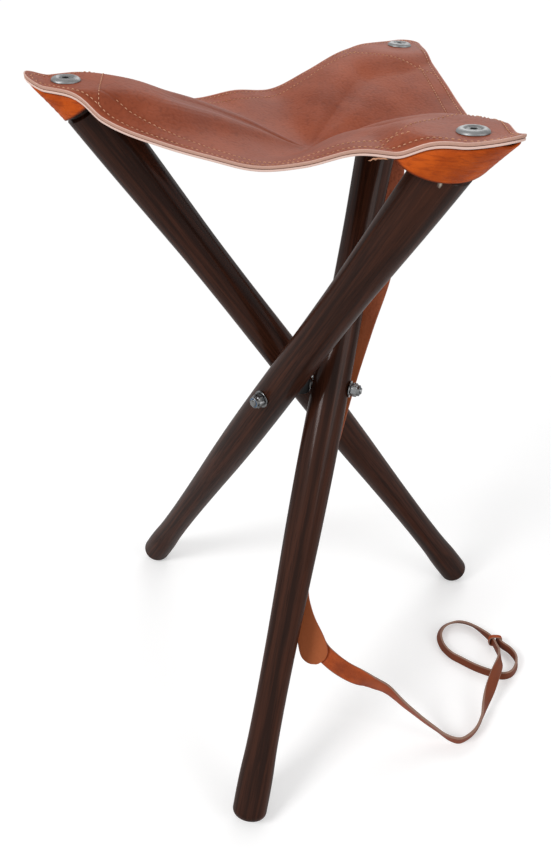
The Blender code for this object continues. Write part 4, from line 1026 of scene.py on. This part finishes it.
def strip(path, face, half, thick):
    """Strap along a path: a rectangle with rounded corners, half wide and thick along face."""
    tangent = unit(np.gradient(path, axis=0))
    across = unit(np.cross(face, tangent))
    face = np.cross(tangent, across)
    bend = np.linspace(0.0, 0.5 * math.pi, 5)
    quarter = [(1.0, 1.0, 0.0), (-1.0, 1.0, 0.5), (-1.0, -1.0, 1.0), (1.0, -1.0, 1.5)]
    flat = np.linspace(-0.8, 0.8, 5)
    wide, tall, cosine, sine = [], [], [], []
    for a, b, turn in quarter:
        wide.append(np.full(5, a))
        tall.append(np.full(5, b))
        cosine.append(np.cos(bend + turn * math.pi))
        sine.append(np.sin(bend + turn * math.pi))
        if turn in (0.0, 1.0):
            wide.append(-a * flat)
            tall.append(np.full(5, b))
            cosine.append(np.zeros(5))
            sine.append(np.full(5, b))
    wide, tall, cosine, sine = (np.concatenate(v) for v in (wide, tall, cosine, sine))
    radius = np.minimum(STRAP_CORNER, 0.45 * np.minimum(half, 0.5 * thick))[:, None]
    a = wide * (half[:, None] - radius) + radius * cosine
    b = tall * (0.5 * thick - radius) + radius * sine
    points = path[:, None] + across[:, None] * a[..., None] + face[:, None] * b[..., None]
    run = np.repeat(lengths(path)[:, None], a.shape[1], axis=1)
    local = np.stack([a, b, run], axis=-1)
    rim = np.repeat((np.abs(cosine) > 0.35).astype(float)[None], len(path), axis=0)
    count = a.shape[1]
    faces = quads(len(path), count, True)
    last = len(path) * count
    ends = np.array([[i, i + 1, count - 2 - i, count - 1 - i] for i in range(count // 2 - 1)])
    faces = np.vstack([faces, ends[:, ::-1], ends + last - count])
    return points.reshape(-1, 3), faces, local.reshape(-1, 3), rim.ravel()


def soft_lamp(name, place, size, power):
    """Soft square lamp that looks at the middle of the stool."""
    data = bpy.data.lights.new(name, "AREA")
    data.shape = "SQUARE"
    data.size = size
    data.energy = power
    lamp = bpy.data.objects.new(name, data)
    lamp.location = place
    lamp.rotation_mode = "QUATERNION"
    lamp.rotation_quaternion = (Vector(LAMP_AIM) - Vector(place)).to_track_quat("-Z", "Y")
    bpy.context.scene.collection.objects.link(lamp)


def photo_camera():
    """Camera of the photograph, from its place, axes, focal length and middle."""
    data = bpy.data.cameras.new("photo_camera")
    data.sensor_width = 36.0
    data.lens = FOCAL * data.sensor_width / IMAGE[1]
    data.shift_x = (0.5 * IMAGE[0] - MIDDLE[0]) / IMAGE[1]
    data.shift_y = (MIDDLE[1] - 0.5 * IMAGE[1]) / IMAGE[1]
    data.clip_start = 0.01
    right = Vector(EYE_RIGHT)
    up = Vector(EYE_UP)
    axes = Matrix((right, up, right.cross(up))).transposed().to_4x4()
    camera = bpy.data.objects.new("photo_camera", data)
    camera.matrix_world = Matrix.Translation(Vector(EYE) * MM) @ axes
    bpy.context.scene.collection.objects.link(camera)
    return camera


def grey(level):
    """Grey of that level, as four numbers."""
    return (level, level, level, 1.0)


def rays(wire, kind):
    """1 for rays of one kind, such as Is Camera Ray."""
    return wire.node("ShaderNodeLightPath", None, None, kind)


def pale_room():
    """World that is white where it is seen, in metal too, and softer as a light."""
    world = bpy.data.worlds.new("pale_room")
    world.use_nodes = True
    wire = Wire(world.node_tree)
    shown = rays(wire, "Is Camera Ray") + rays(wire, "Is Glossy Ray") + rays(wire, "Is Transmission Ray")
    level = 0.48 + shown.math("MINIMUM", shown, 1.0) * 0.52
    ground = world.node_tree.nodes["Background"]
    ground.inputs["Color"].default_value = grey(1.0)
    world.node_tree.links.new(level.socket, ground.inputs["Strength"])
    return world


def pale_floor():
    """Floor that keeps the stool's shadow and fades to the white of the room."""
    finish = Finish("pale_floor", Roughness=0.9, Specular_IOR_Level=0.1, Emission_Strength=1.0)
    spot = finish.place()
    away = spot.node("ShaderNodeVectorMath", {"operation": "LENGTH"}, {0: spot}, "Value")
    far = away.step(0.35, 1.1)
    seen = rays(spot, "Is Camera Ray")
    tone = spot.noise(9.0, 3.0).mix(grey(0.78), grey(0.82))
    tone = (far * seen).mix(tone, grey(0.0))
    lift = seen.mix(grey(0.0), far.mix(grey(0.34), grey(1.0)))
    u = FLOOR_REACH * np.linspace(-1.0, 1.0, 41)
    grid = np.stack(np.meshgrid(u, u + FLOOR_BACK, indexing="xy"), axis=-1).reshape(-1, 2)
    points = np.column_stack([grid, np.full(len(grid), -FLOOR_DROP)])
    mesh = bpy.data.meshes.new("floor")
    mesh.from_pydata(points.tolist(), [], quads(41, 41).tolist())
    mesh.materials.append(finish.plug(Base_Color=tone, Emission_Color=lift))
    floor = bpy.data.objects.new("floor", mesh)
    bpy.context.scene.collection.objects.link(floor)
    return floor


def fit(item, body, node):
    """Hang a piece on a body in the place of a CAD node."""
    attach(item, body)
    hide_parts(node)


def strap_piece(name, skin, finish, node):
    """Piece of a strap on the back leg, of points, faces, places along the strap and its cut rim."""
    points, faces, local, rim = skin
    item = make_piece(name, points, faces, finish, 50.0, local=local, rim=rim)
    fit(item, "leg_back", node)
    return item


class STOOL_OT_stage(bpy.types.Operator):
    """Set up the camera, the soft lamps, the pale world and the floor"""

    bl_idname = "stool.stage"
    bl_label = "Stage"

    def execute(self, context):
        context.scene.camera = photo_camera()
        context.scene.view_settings.view_transform = "Standard"
        for lamp in LAMPS:
            soft_lamp(*lamp)
        context.scene.world = pale_room()
        pale_floor()
        return {"FINISHED"}


def leg_skin(name):
    """Skin of a leg in its own frame: sawn top, neck in the pocket, turned shaft and rounded foot."""
    angle = np.linspace(0.0, 2.0 * math.pi, LEG_SIDES, endpoint=False)[None, :]
    whole = np.ones_like(angle)
    shoulder = LEG_ABOVE_BOLT - POCKET_DROP[name] - POCKET_WALL
    inner = np.array([0.0, 0.5, 0.96, 1.0])[:, None] * NECK_RADIUS * whole
    slope = LEG_ABOVE_BOLT + inner * np.sin(angle) * math.tan(TOP_CUT)
    slope[3] -= TOP_EASE
    neck = np.linspace(0.0, 1.0, 6)[1:, None]
    neck_z = slope[3] * (1.0 - neck) + shoulder * neck
    first = (LEG_ABOVE_BOLT - shoulder + POCKET_WALL) / LEG_LENGTH
    sole = 1.0 - FOOT_ROUND / LEG_LENGTH
    station = np.linspace(first, sole, LEG_ROWS)
    radius = through(np.clip(station, LEG_STATIONS[0], LEG_STATIONS[-1]), LEG_STATIONS, LEG_SHARES)
    mix = smoothstep(station, FOOT_FROM, sole - FOOT_FROM)
    radius = (radius * (1.0 - mix) + FOOT_RADIUS / LEG_RADIUS * mix) * LEG_RADIUS
    turn = np.linspace(0.0, 0.5 * math.pi, 12)[1:]
    foot_r = FOOT_RADIUS - FOOT_ROUND * (1.0 - np.cos(turn))
    foot_z = FOOT_ROUND * (1.0 - np.sin(turn)) - LEG_BELOW_BOLT
    shaft_z = LEG_ABOVE_BOLT - station * LEG_LENGTH
    r = np.concatenate([radius, foot_r, [0.5 * foot_r[-1], 0.0]])[:, None]
    z = np.concatenate([shaft_z, foot_z, [-LEG_BELOW_BOLT] * 2])[:, None]
    r = np.vstack([inner, NECK_RADIUS * np.ones_like(neck) * whole, r * whole])
    z = np.vstack([slope, neck_z, z * whole])
    points = np.stack([r * np.cos(angle), r * np.sin(angle), z], axis=-1).reshape(-1, 3)
    return points, quads(len(r), LEG_SIDES, True)


class STOOL_OT_legs(bpy.types.Operator):
    """Turn the three wooden legs with their sawn tops, necks and rounded feet"""

    bl_idname = "stool.legs"
    bl_label = "Legs"

    def execute(self, context):
        for k, name in enumerate(NAMES):
            points, faces = leg_skin(name)
            off = np.linalg.norm((points - CHIP_SPOT) / CHIP_SIZE, axis=1)
            chip = (1.0 - smoothstep(off, 0.6, 0.8)) * (name == CHIP_LEG)
            world = move(LEG_WORLD[name], points)
            item = make_piece("turned_leg_" + name, world, faces, "dark_lacquered_wood",
                              local=points + np.array(GRAIN_SHIFT) * k, chip=chip)
            fit(item, "leg_" + name, "leg_" + name)
        return {"FINISHED"}


def hub_block():
    """Hexagonal block of the bolt with eased rims."""
    half = 0.5 * HUB_HEIGHT
    rise = np.array([half, half, half, half - 0.35 * MM, half - 1.3 * MM])
    radii = np.array([0.0, 0.5, 0.88, 0.94, 1.0]) * 2.0 * HUB_APOTHEM / math.sqrt(3.0)
    sides = hexagon(2.0 * HUB_APOTHEM, HEADING["left"] - math.pi / 3.0)
    ring = np.concatenate([radii, radii[::-1]])
    return turned(ring, np.concatenate([rise, -rise[::-1]]), HUB_SIDES, BOLT, sides)


def threaded_stud(arm, nut, tail, pitch):
    """Stud with a thread from the nut to its tail, THREAD_DEPTH (1 - cos(2 pi z / pitch - a)) / 2 deep."""
    z = np.arange(nut - 2.0 * MM, tail - 0.6 * MM, 0.125 * pitch)
    start = HUB_APOTHEM - HUB_SOCKET
    r = STUD_RADIUS
    radii = np.concatenate([[0.0, r, r], np.full(len(z), r), [r - 0.5 * MM, 0.5 * r, 0.0]])
    heights = np.concatenate([[start, start, nut - 3.0 * MM], z, [tail] * 3])
    points, faces = turned(radii, heights, STUD_SIDES, np.eye(4))
    angle = np.arctan2(points[:, 1], points[:, 0])
    groove = 0.5 - 0.5 * np.cos(2.0 * math.pi * points[:, 2] / pitch - angle)
    cut = (points[:, 2] > nut - 2.5 * MM) * (points[:, 2] < tail - 0.4 * MM)
    reach = np.linalg.norm(points[:, :2], axis=1)
    points[:, :2] *= (1.0 - THREAD_DEPTH * groove * cut / np.maximum(reach, MM))[:, None]
    return move(arm, points), faces


def plain_washer(arm, radius, low):
    """Flat ring with eased outer edges."""
    hole = STUD_RADIUS + GAP
    high = low + WASHER_THICK
    soft = radius - WASHER_EASE
    ring = [hole, soft, radius, radius, soft, hole, hole]
    rise = [high, high, high - WASHER_EASE, low + WASHER_EASE, low, low, high]
    return turned(ring, rise, SMALL_SIDES, arm)


def lock_nut(arm, nut):
    """Hexagonal nut with a round collar that is hollow for the nylon ring."""
    hole = STUD_RADIUS + GAP
    high = nut + NUT_HEIGHT
    shelf = high + 0.2 * MM
    top = high + NUT_COLLAR
    wide = NUT_FLATS / math.sqrt(3.0)
    collar = NUT_COLLAR_RADIUS
    ring = [hole, 0.5 * NUT_FLATS - 0.1 * MM, wide, wide, 0.5 * NUT_FLATS, collar, collar,
            collar - 0.3 * MM, NUT_GRIP + 0.1 * MM, NUT_GRIP, NUT_GRIP, hole, hole]
    rise = [nut, nut, nut + 0.5 * MM, high - 0.5 * MM, high, high + 0.05 * MM, top - 0.35 * MM,
            top, top, top - 0.1 * MM, shelf, shelf, nut]
    return turned(ring, rise, ROUND_SIDES, arm, hexagon(NUT_FLATS, NUT_TURN))


def nylon_ring(arm, nut):
    """Ring that sits in the nut's collar and grips the stud."""
    low = nut + NUT_HEIGHT + 0.4 * MM
    cap = nut + NUT_HEIGHT + NUT_COLLAR - 0.3 * MM
    tight = STUD_RADIUS + GAP - 0.1 * MM
    outer = NUT_GRIP - 0.2 * MM
    ring = [tight, outer - 0.1 * MM, outer, outer, tight, tight]
    rise = [cap, cap, cap - 0.1 * MM, low, low, cap]
    return turned(ring, rise, SMALL_SIDES, arm)


class STOOL_OT_bolt(bpy.types.Operator):
    """Make the hub block with its threaded studs, washers and lock nuts"""

    bl_idname = "stool.bolt"
    bl_label = "Three-way bolt"

    def execute(self, context):
        pitch = context.scene.stool.sizes.thread_pitch
        seat = BOLT_REACH + BOLT_RADIUS + GAP
        nut = seat + WASHER_THICK + GAP
        tail = nut + NUT_HEIGHT + NUT_COLLAR + STUD_SHOW
        pieces = [("bolt_block", hub_block(), "dull_steel", "bolt_hub", "hub_steel")]
        for name in NAMES:
            way = Vector((0.0, 0.0, 1.0)).rotation_difference(Vector(LEGS[name][:3, 0]))
            arm = BOLT @ np.array(way.to_matrix().to_4x4())
            inner = plain_washer(arm, INNER_WASHER_RADIUS, HUB_APOTHEM + GAP)
            outer = plain_washer(arm, OUTER_WASHER_RADIUS, seat)
            steel = (
                ("threaded_stud_", threaded_stud(arm, nut, tail, pitch), "stud_"),
                ("inner_plain_washer_", inner, "inner_washer_"),
                ("outer_plain_washer_", outer, "outer_washer_"),
                ("lock_nut_body_", lock_nut(arm, nut), "lock_nut_"),
            )
            for label, block, node in steel:
                pieces.append((label + name, block, "zinc_steel", node + name, "hardware_steel"))
            ring = nylon_ring(arm, nut)
            pieces.append(("nylon_ring_" + name, ring, "moulded_nylon", "nut_insert_" + name, "nylon"))
        for label, block, finish, node, slot in pieces:
            fit(make_piece(label, *block, finish, sharp=28.0), "hub", node)
        return {"FINISHED"}


class STOOL_OT_seat(bpy.types.Operator):
    """Cut the two leather layers of the seat, a lobe for each leg"""

    bl_idname = "stool.seat"
    bl_label = "Seat"

    def execute(self, context):
        under = PANEL_THICK + GAP
        layers = (
            ("seat_hide_", "waxed_seat_hide", "seat_leather", "seat_panel", 0.0, PANEL_THICK, PANEL_GRID),
            ("lining_hide_", "napped_lining_hide", "lining_leather", "seat_lining", under,
             under + LINING_THICK, LINING_GRID),
        )
        for k, name in enumerate(NAMES):
            for label, finish, slot, node, high, low, grid in layers:
                points, faces, rim = lobe(k, high, low, *grid)
                inset, seam = sewing_marks(k, points[:, :2])
                item = make_piece(label + name, move(BOLT, points), faces, finish, 50.0,
                                  rim=rim, inset=inset, seam=seam)
                bend_with_leg(item, k)
                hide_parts(node)
        return {"FINISHED"}


class STOOL_OT_stitching(bpy.types.Operator):
    """Sew the seat along its edges and across its corners"""

    bl_idname = "stool.stitching"
    bl_label = "Stitching"

    def execute(self, context):
        sizes = context.scene.stool.sizes
        turn = BOLT[:3, :3].T
        for k, name in enumerate(NAMES):
            blocks = []
            for plan in seam_rows(k):
                line = seat_on(plan)
                line[:, 2] += swell(plan)
                blocks.append(capsules(move(BOLT, line), seat_normal(plan) @ turn, sizes.stitch_pitch,
                                       sizes.stitch_length, sizes.thread_radius))
            for first, last, hang in FRAY.get(name, ()):
                plan = inset_row((k + 2) % 3, FRAY_INSET, first, last)
                line = seat_on(plan) - [0.0, 0.0, SEAT_STACK + FRAY_INSET]
                loose = np.linspace(1.0, 0.0, len(plan))
                line[:, 2] -= hang * loose ** 1.5 + FRAY_CURL * loose * np.sin(FRAY_WAVES * loose)
                blocks.append(capsules(move(BOLT, line), seat_normal(plan) @ turn, 1.0,
                                       0.98 * lengths(line)[-1], FRAY_THICK * sizes.thread_radius))
            item = make_piece("stitching_" + name, *join(blocks), "sewing_thread", 60.0)
            bend_with_leg(item, k)
        return {"FINISHED"}


def pocket_skin(k):
    """Outer skin of a pocket, its dark lower rim and its faces: hoops from seam to seam, creased across.

    A hoop runs middle + half cos(phi) ** POCKET_FOLD + drop sin(phi) ** POCKET_FOLD, phi from 0 to pi."""
    name = NAMES[k]
    share = np.linspace(POCKET_SEAM_FROM, 1.0, POCKET_ROWS)
    depth = np.array([0.0, 0.0, SEAT_STACK + POCKET_BELOW])
    reach = NECK_RADIUS + POCKET_WALL + POCKET_EASE
    lowest = move(LEGS[name], np.array([0.0, reach, LEG_ABOVE_BOLT - POCKET_DROP[name]]))
    ends = []
    for side in (-1.0, 1.0):
        q = (k + side * POCKET_SEAM[name] * share) % 3.0
        inset = 1.0 - POCKET_INSET / np.linalg.norm(outline(q)[:, :2] - CENTRE[:2], axis=1)
        ends.append(seat_top(inset, q) - depth)
    tip = outline(np.array([float(k)]))[0] - depth
    phi = np.linspace(0.0, math.pi, POCKET_COLUMNS)[None, :, None]
    middle = 0.5 * (ends[0] + ends[1])[:, None, :]
    half = 0.5 * (ends[0] - ends[1])[:, None, :]
    bottom = (tip + share[:, None] * (lowest - tip))[:, None, :]
    hang = (bottom - middle) * np.sin(phi) ** POCKET_FOLD
    points = middle + half * powered(np.cos(phi), POCKET_FOLD) + hang
    wave = np.sin(POCKET_WAVES * share[:, None] + 2.0 * np.sin(3.0 * phi[..., 0])) * np.sin(phi[..., 0])
    fade = smoothstep(share, *POCKET_WAVES_IN) * (1.0 - smoothstep(share, *POCKET_WAVES_OUT))
    out = unit(points - (middle - [0.0, 0.0, POCKET_HEART]))
    points = points - out * ((0.5 - 0.5 * wave) * POCKET_CREASE * fade[:, None])[..., None]
    rim = np.repeat(smoothstep(share, *POCKET_RIM)[:, None], POCKET_COLUMNS, axis=1)
    return points.reshape(-1, 3), quads(POCKET_ROWS, POCKET_COLUMNS), rim.ravel()


class STOOL_OT_pockets(bpy.types.Operator):
    """Shape the leather pockets that take the ends of the legs"""

    bl_idname = "stool.pockets"
    bl_label = "Corner pockets"

    def execute(self, context):
        for k, name in enumerate(NAMES):
            points, faces, rim = pocket_skin(k)
            local = (points - LEGS[name][:3, 3]) @ LEGS[name][:3, :3]
            world = move(BOLT, points)
            item = make_piece("pocket_" + name, world, faces, "creased_pocket_hide", 60.0, False,
                              local=local, rim=rim)
            mesh = item.data
            face = mesh.polygons[len(mesh.polygons) // 2]
            if face.normal.dot(face.center - Vector(world.mean(axis=0))) < 0.0:
                mesh.flip_normals()
            wall = item.modifiers.new("Wall", "SOLIDIFY")
            wall.thickness = POCKET_WALL
            wall.offset = -1.0
            wall.use_even_offset = True
            wall.use_rim = True
            fit(item, "leg_" + name, "corner_pocket_" + name)
        return {"FINISHED"}


def cup_washer(corner):
    """Domed cup with a rolled eye, hollow for the screw's head."""
    low = SEAT_STACK + GAP
    bore = SCREW_RADIUS + 2.0 * GAP
    t = np.linspace(0.0, 1.0, 14)
    roll_r = np.interp(t, CUP_ROLL_AT, CUP_ROLL_REACH) * CUP_RADIUS
    roll_z = low + through(t, CUP_ROLL_AT, CUP_ROLL_RISE) * CUP_SHOW
    ring = np.concatenate([roll_r, [bore, bore, roll_r[0]]])
    rise = np.concatenate([roll_z, [low, low + 0.10 * CUP_SHOW, roll_z[0]]])
    return turned(ring, rise, ROUND_SIDES, corner)


def socket_screw(corner):
    """Countersunk screw with a hexagonal socket in its slightly domed head."""
    eye = CUP_ROLL_REACH[0] * CUP_RADIUS
    slope = (eye - SCREW_RADIUS - 2.0 * GAP) / (0.90 * CUP_HEIGHT)
    face = SEAT_STACK + GAP + CUP_HEIGHT - SCREW_SINK
    rim = eye - GAP * math.sqrt(1.0 + slope * slope) - 0.05 * MM - slope * SCREW_SINK
    neck_z = face - (rim - SCREW_RADIUS) / slope
    wide = SOCKET_FLATS / math.sqrt(3.0)
    head = np.linspace(wide + 0.15 * MM, rim, 8)
    dome = face + 0.2 * MM * (1.0 - (head / rim) ** 2)
    socket_z = [face - 1.3 * MM, face - 1.1 * MM, face - 0.3 * MM, dome[0] + 0.02 * MM]
    shank_z = [neck_z, -SCREW_DEPTH + 2.0 * MM, -SCREW_DEPTH, -SCREW_DEPTH]
    shank = [SCREW_RADIUS, SCREW_RADIUS, 0.6 * SCREW_RADIUS, 0.0]
    ring = np.concatenate([[0.0, wide, wide, wide], head, shank])
    rise = np.concatenate([socket_z, dome, shank_z])
    inside = (np.arange(len(ring)) < len(socket_z))[:, None]
    key = hexagon(SOCKET_FLATS)
    return turned(ring, rise, ROUND_SIDES, corner, lambda angle: np.where(inside, key(angle), np.inf))


class STOOL_OT_corner_hardware(bpy.types.Operator):
    """Make the cup washers and socket screws that hold the seat on the legs"""

    bl_idname = "stool.corner_hardware"
    bl_label = "Corner screws"

    def execute(self, context):
        for name in NAMES:
            cup = make_piece("nickel_cup_" + name, *cup_washer(CORNERS[name]), "nickel_cup", 50.0)
            fit(cup, "leg_" + name, "cup_washer_" + name)
            screw = make_piece("socket_screw_" + name, *socket_screw(CORNERS[name]), "dull_steel", 35.0)
            fit(screw, "leg_" + name, "corner_screw_" + name)
        return {"FINISHED"}


def strap_spot(height, turn):
    """Middle of the carry strap where a screw holds it on the back leg."""
    reach = leg_share((LEG_ABOVE_BOLT - height) / LEG_LENGTH) + GAP + 0.5 * STRAP_THICK
    return reach * math.cos(turn), reach * math.sin(turn)


def carry_strip():
    """Carry strap: flat on the leg at its screws, edge-on between them, with a rounded tab at its end."""
    high = strap_spot(STRAP_FIX_TOP, STRAP_TOP_TURN)
    low = strap_spot(STRAP_FIX_LOW, STRAP_LOW_TURN)
    route = [(*high, STRAP_FIX_TOP + z) for z in STRAP_TOP_FLAT]
    route += [tuple(v * MM for v in p) for p in STRAP_ROUTE]
    route += [(*low, STRAP_FIX_LOW + z) for z in STRAP_LOW_FLAT]
    route += [tuple(v * MM for v in p) for p in STRAP_END]
    path = smooth_route(route, STRAP_SECTIONS)
    drop = STRAP_FIX_TOP - path[:, 2]
    square = 0.5 * math.pi
    turn = STRAP_TOP_TURN + (square - STRAP_TOP_TURN) * smoothstep(drop, *STRAP_TOP_TWIST)
    low_mix = 1.0 - smoothstep(np.abs(path[:, 2] - STRAP_FIX_LOW), *STRAP_LOW_TWIST)
    turn = turn + (STRAP_LOW_TURN - square) * low_mix
    face = np.stack([np.cos(turn), np.sin(turn), np.zeros_like(turn)], axis=1)
    run = lengths(path)
    left = run[-1] - run
    tab = 1.0 - smoothstep(left, *TAB_FLARE)
    half = 0.5 * STRAP_WIDTH + 0.5 * (TAB_WIDTH - STRAP_WIDTH) * tab
    inside = np.clip((0.5 * TAB_WIDTH - left) / (0.5 * TAB_WIDTH), 0.0, 0.995)
    half = half * np.sqrt(1.0 - inside ** 2)
    half = half - STRAP_TIP_IN * np.clip((STRAP_TIP - run) / STRAP_TIP, 0.0, 1.0) ** 2
    points, faces, local, rim = strip(path, face, half, STRAP_THICK)
    return move(LEG_WORLD["back"], points), faces, local, rim


def strap_cup(spot, base):
    """Shallow cup washer under a strap screw."""
    hole = STRAP_SCREW_RADIUS + GAP
    wide = STRAP_WASHER_RADIUS
    ring = [hole, 0.8 * wide, wide - 0.15 * MM, wide, wide, hole, hole]
    rise = np.array([0.9, 0.72, 0.6, 0.45, 0.0, 0.0, 0.9]) * MM + base
    return turned(ring, rise, SMALL_SIDES, spot)


def pan_screw(spot, base, point):
    """Screw with a rounded head, from its washer to its point in the leg."""
    cap = base + 1.2 * MM
    turn = np.linspace(0.0, 0.5 * math.pi, 9)
    ring = np.concatenate([1.9 * STRAP_SCREW_RADIUS * np.sin(turn), [STRAP_SCREW_RADIUS] * 2, [0.0]])
    dome = cap + 1.7 * MM * np.cos(turn) ** 0.8
    rise = np.concatenate([dome, [cap, point + 2.0 * MM, point]])
    return turned(ring, rise, SMALL_SIDES, spot)


class STOOL_OT_carry_strap(bpy.types.Operator):
    """Lay the carry strap along the back leg, with its tab and its two screws"""

    bl_idname = "stool.carry_strap"
    bl_label = "Carry strap"

    def execute(self, context):
        strap_piece("pebbled_strap", carry_strip(), "pebbled_strap_hide", "carry_strap")
        screws = (("top", STRAP_FIX_TOP, STRAP_TOP_TURN), ("low", STRAP_FIX_LOW, STRAP_LOW_TURN))
        for label, height, turn in screws:
            surface = float(leg_share((LEG_ABOVE_BOLT - height) / LEG_LENGTH))
            spot = Matrix.Rotation(turn, 4, "Z") @ Matrix.Rotation(math.pi / 2.0, 4, "Y")
            spot.translation = (0.0, 0.0, height)
            spot = LEG_WORLD["back"] @ np.array(spot)
            base = surface + 2.0 * GAP + STRAP_THICK
            cup = make_piece("strap_cup_" + label, *strap_cup(spot, base), "nickel_cup", 40.0)
            fit(cup, "leg_back", "strap_washer_" + label)
            block = pan_screw(spot, base, surface - STRAP_SCREW_DEPTH)
            screw = make_piece("strap_pan_screw_" + label, *block, "zinc_steel", 50.0)
            fit(screw, "leg_back", "strap_screw_" + label)
        return {"FINISHED"}


def tie_path():
    """Middle line of the tie strap from the tab to its slit end."""
    route = [move(LEG_WORLD["back"], np.array(p) * MM) for p in TIE_START]
    return smooth_route(route + [np.array(p) * MM + FLOOR for p in TIE_ROUTE], TIE_SECTIONS)


def tie_strip(path):
    """Tie strap that narrows from the tab on and twists about its middle line."""
    share = np.linspace(0.0, 1.0, len(path))
    half = 0.5 * TIE_WIDTH * (1.0 - (1.0 - TIE_TAPER) * smoothstep(share, 0.0, TIE_TAPER_END))
    turn = np.radians(np.interp(share, TIE_TURN_AT, TIE_TURN))[:, None]
    tangent = unit(np.gradient(path, axis=0))
    up = unit(np.array([0.0, 0.0, 1.0]) - tangent * tangent[:, 2:])
    side = np.cross(tangent, up)
    return strip(path, side * np.cos(turn) + up * np.sin(turn), half, TIE_THICK)


def slit_end():
    """Band round the strap: a rounded square loop, its section a rounded bar."""
    a = np.linspace(0.0, 2.0 * math.pi, 97)[:-1]
    b = np.linspace(0.0, 2.0 * math.pi, 21)[:-1]
    wide, tall = ((v + 0.5 * KEEPER_WALL) * MM for v in KEEPER_INNER)
    across = wide * powered(np.cos(a), KEEPER_SQUARE)
    rise = tall * powered(np.sin(a), KEEPER_SQUARE)
    loop = np.stack([across, 0.0 * a, rise], axis=1)
    loop = loop + np.array(KEEPER_MID) * MM + FLOOR
    way = np.roll(loop, -1, axis=0) - np.roll(loop, 1, axis=0)
    out = unit(np.cross(way, [0.0, -1.0, 0.0]))
    deep = KEEPER_HALF * MM * powered(np.cos(b), KEEPER_BAR)
    thick = 0.5 * KEEPER_WALL * MM * powered(np.sin(b), KEEPER_BAR)
    ring = loop[:, None] + thick[:, None] * out[:, None]
    ring[..., 1] += deep
    grid = np.concatenate([ring, ring[:1]], axis=0)
    rows, columns = grid.shape[:2]
    run = np.linspace(0.0, 0.05, rows)[:, None]
    local = np.stack(np.broadcast_arrays(deep[None], thick[None], run), axis=-1)
    rim = np.repeat((np.abs(deep) > 0.85 * KEEPER_HALF * MM).astype(float)[None], rows, axis=0)
    return grid.reshape(-1, 3), quads(rows, columns, True), local.reshape(-1, 3), rim.ravel()


class STOOL_OT_tie_strap(bpy.types.Operator):
    """Lay the tie strap from the tab to its loop on the floor, with the slit end that closes it"""

    bl_idname = "stool.tie_strap"
    bl_label = "Tie strap"

    def execute(self, context):
        path = tie_path()
        tie = strap_piece("waxed_tie", tie_strip(path), "smooth_tie_hide", "tie_strap")
        keeper = strap_piece("tie_slit_end", slit_end(), "smooth_tie_hide", "tie_keeper")
        return {"FINISHED"}


class STOOL_PT_panel(bpy.types.Panel):
    """Settings and steps of the stool"""

    bl_idname = "STOOL_PT_panel"
    bl_label = "Tripod stool"
    bl_space_type = "VIEW_3D"
    bl_region_type = "UI"
    bl_category = "Stool"

    def draw(self, context):
        for group in (context.scene.stool.sizes, context.scene.stool.colours):
            box = self.layout.box()
            for key in group.__annotations__:
                box.prop(group, key)
        for step in STEPS:
            self.layout.operator(step.bl_idname)


STEPS = (
    STOOL_OT_stage, STOOL_OT_tie_strap, STOOL_OT_carry_strap, STOOL_OT_legs, STOOL_OT_bolt, STOOL_OT_pockets,
    STOOL_OT_corner_hardware, STOOL_OT_seat, STOOL_OT_stitching,
)
CLASSES = (StoolSizes, StoolColours, StoolSettings, *STEPS, STOOL_PT_panel)


def register():
    """Add the classes and the settings to Blender."""
    for item in CLASSES:
        bpy.utils.register_class(item)
    bpy.types.Scene.stool = bpy.props.PointerProperty(type=StoolSettings)


def unregister():
    """Take the classes and the settings out of Blender."""
    del bpy.types.Scene.stool
    for item in reversed(CLASSES):
        bpy.utils.unregister_class(item)


def main():
    """Build every piece in order."""
    register()
    for step in STEPS:
        group, call = step.bl_idname.split(".")
        getattr(getattr(bpy.ops, group), call)()


if __name__ == "__main__":
    main()
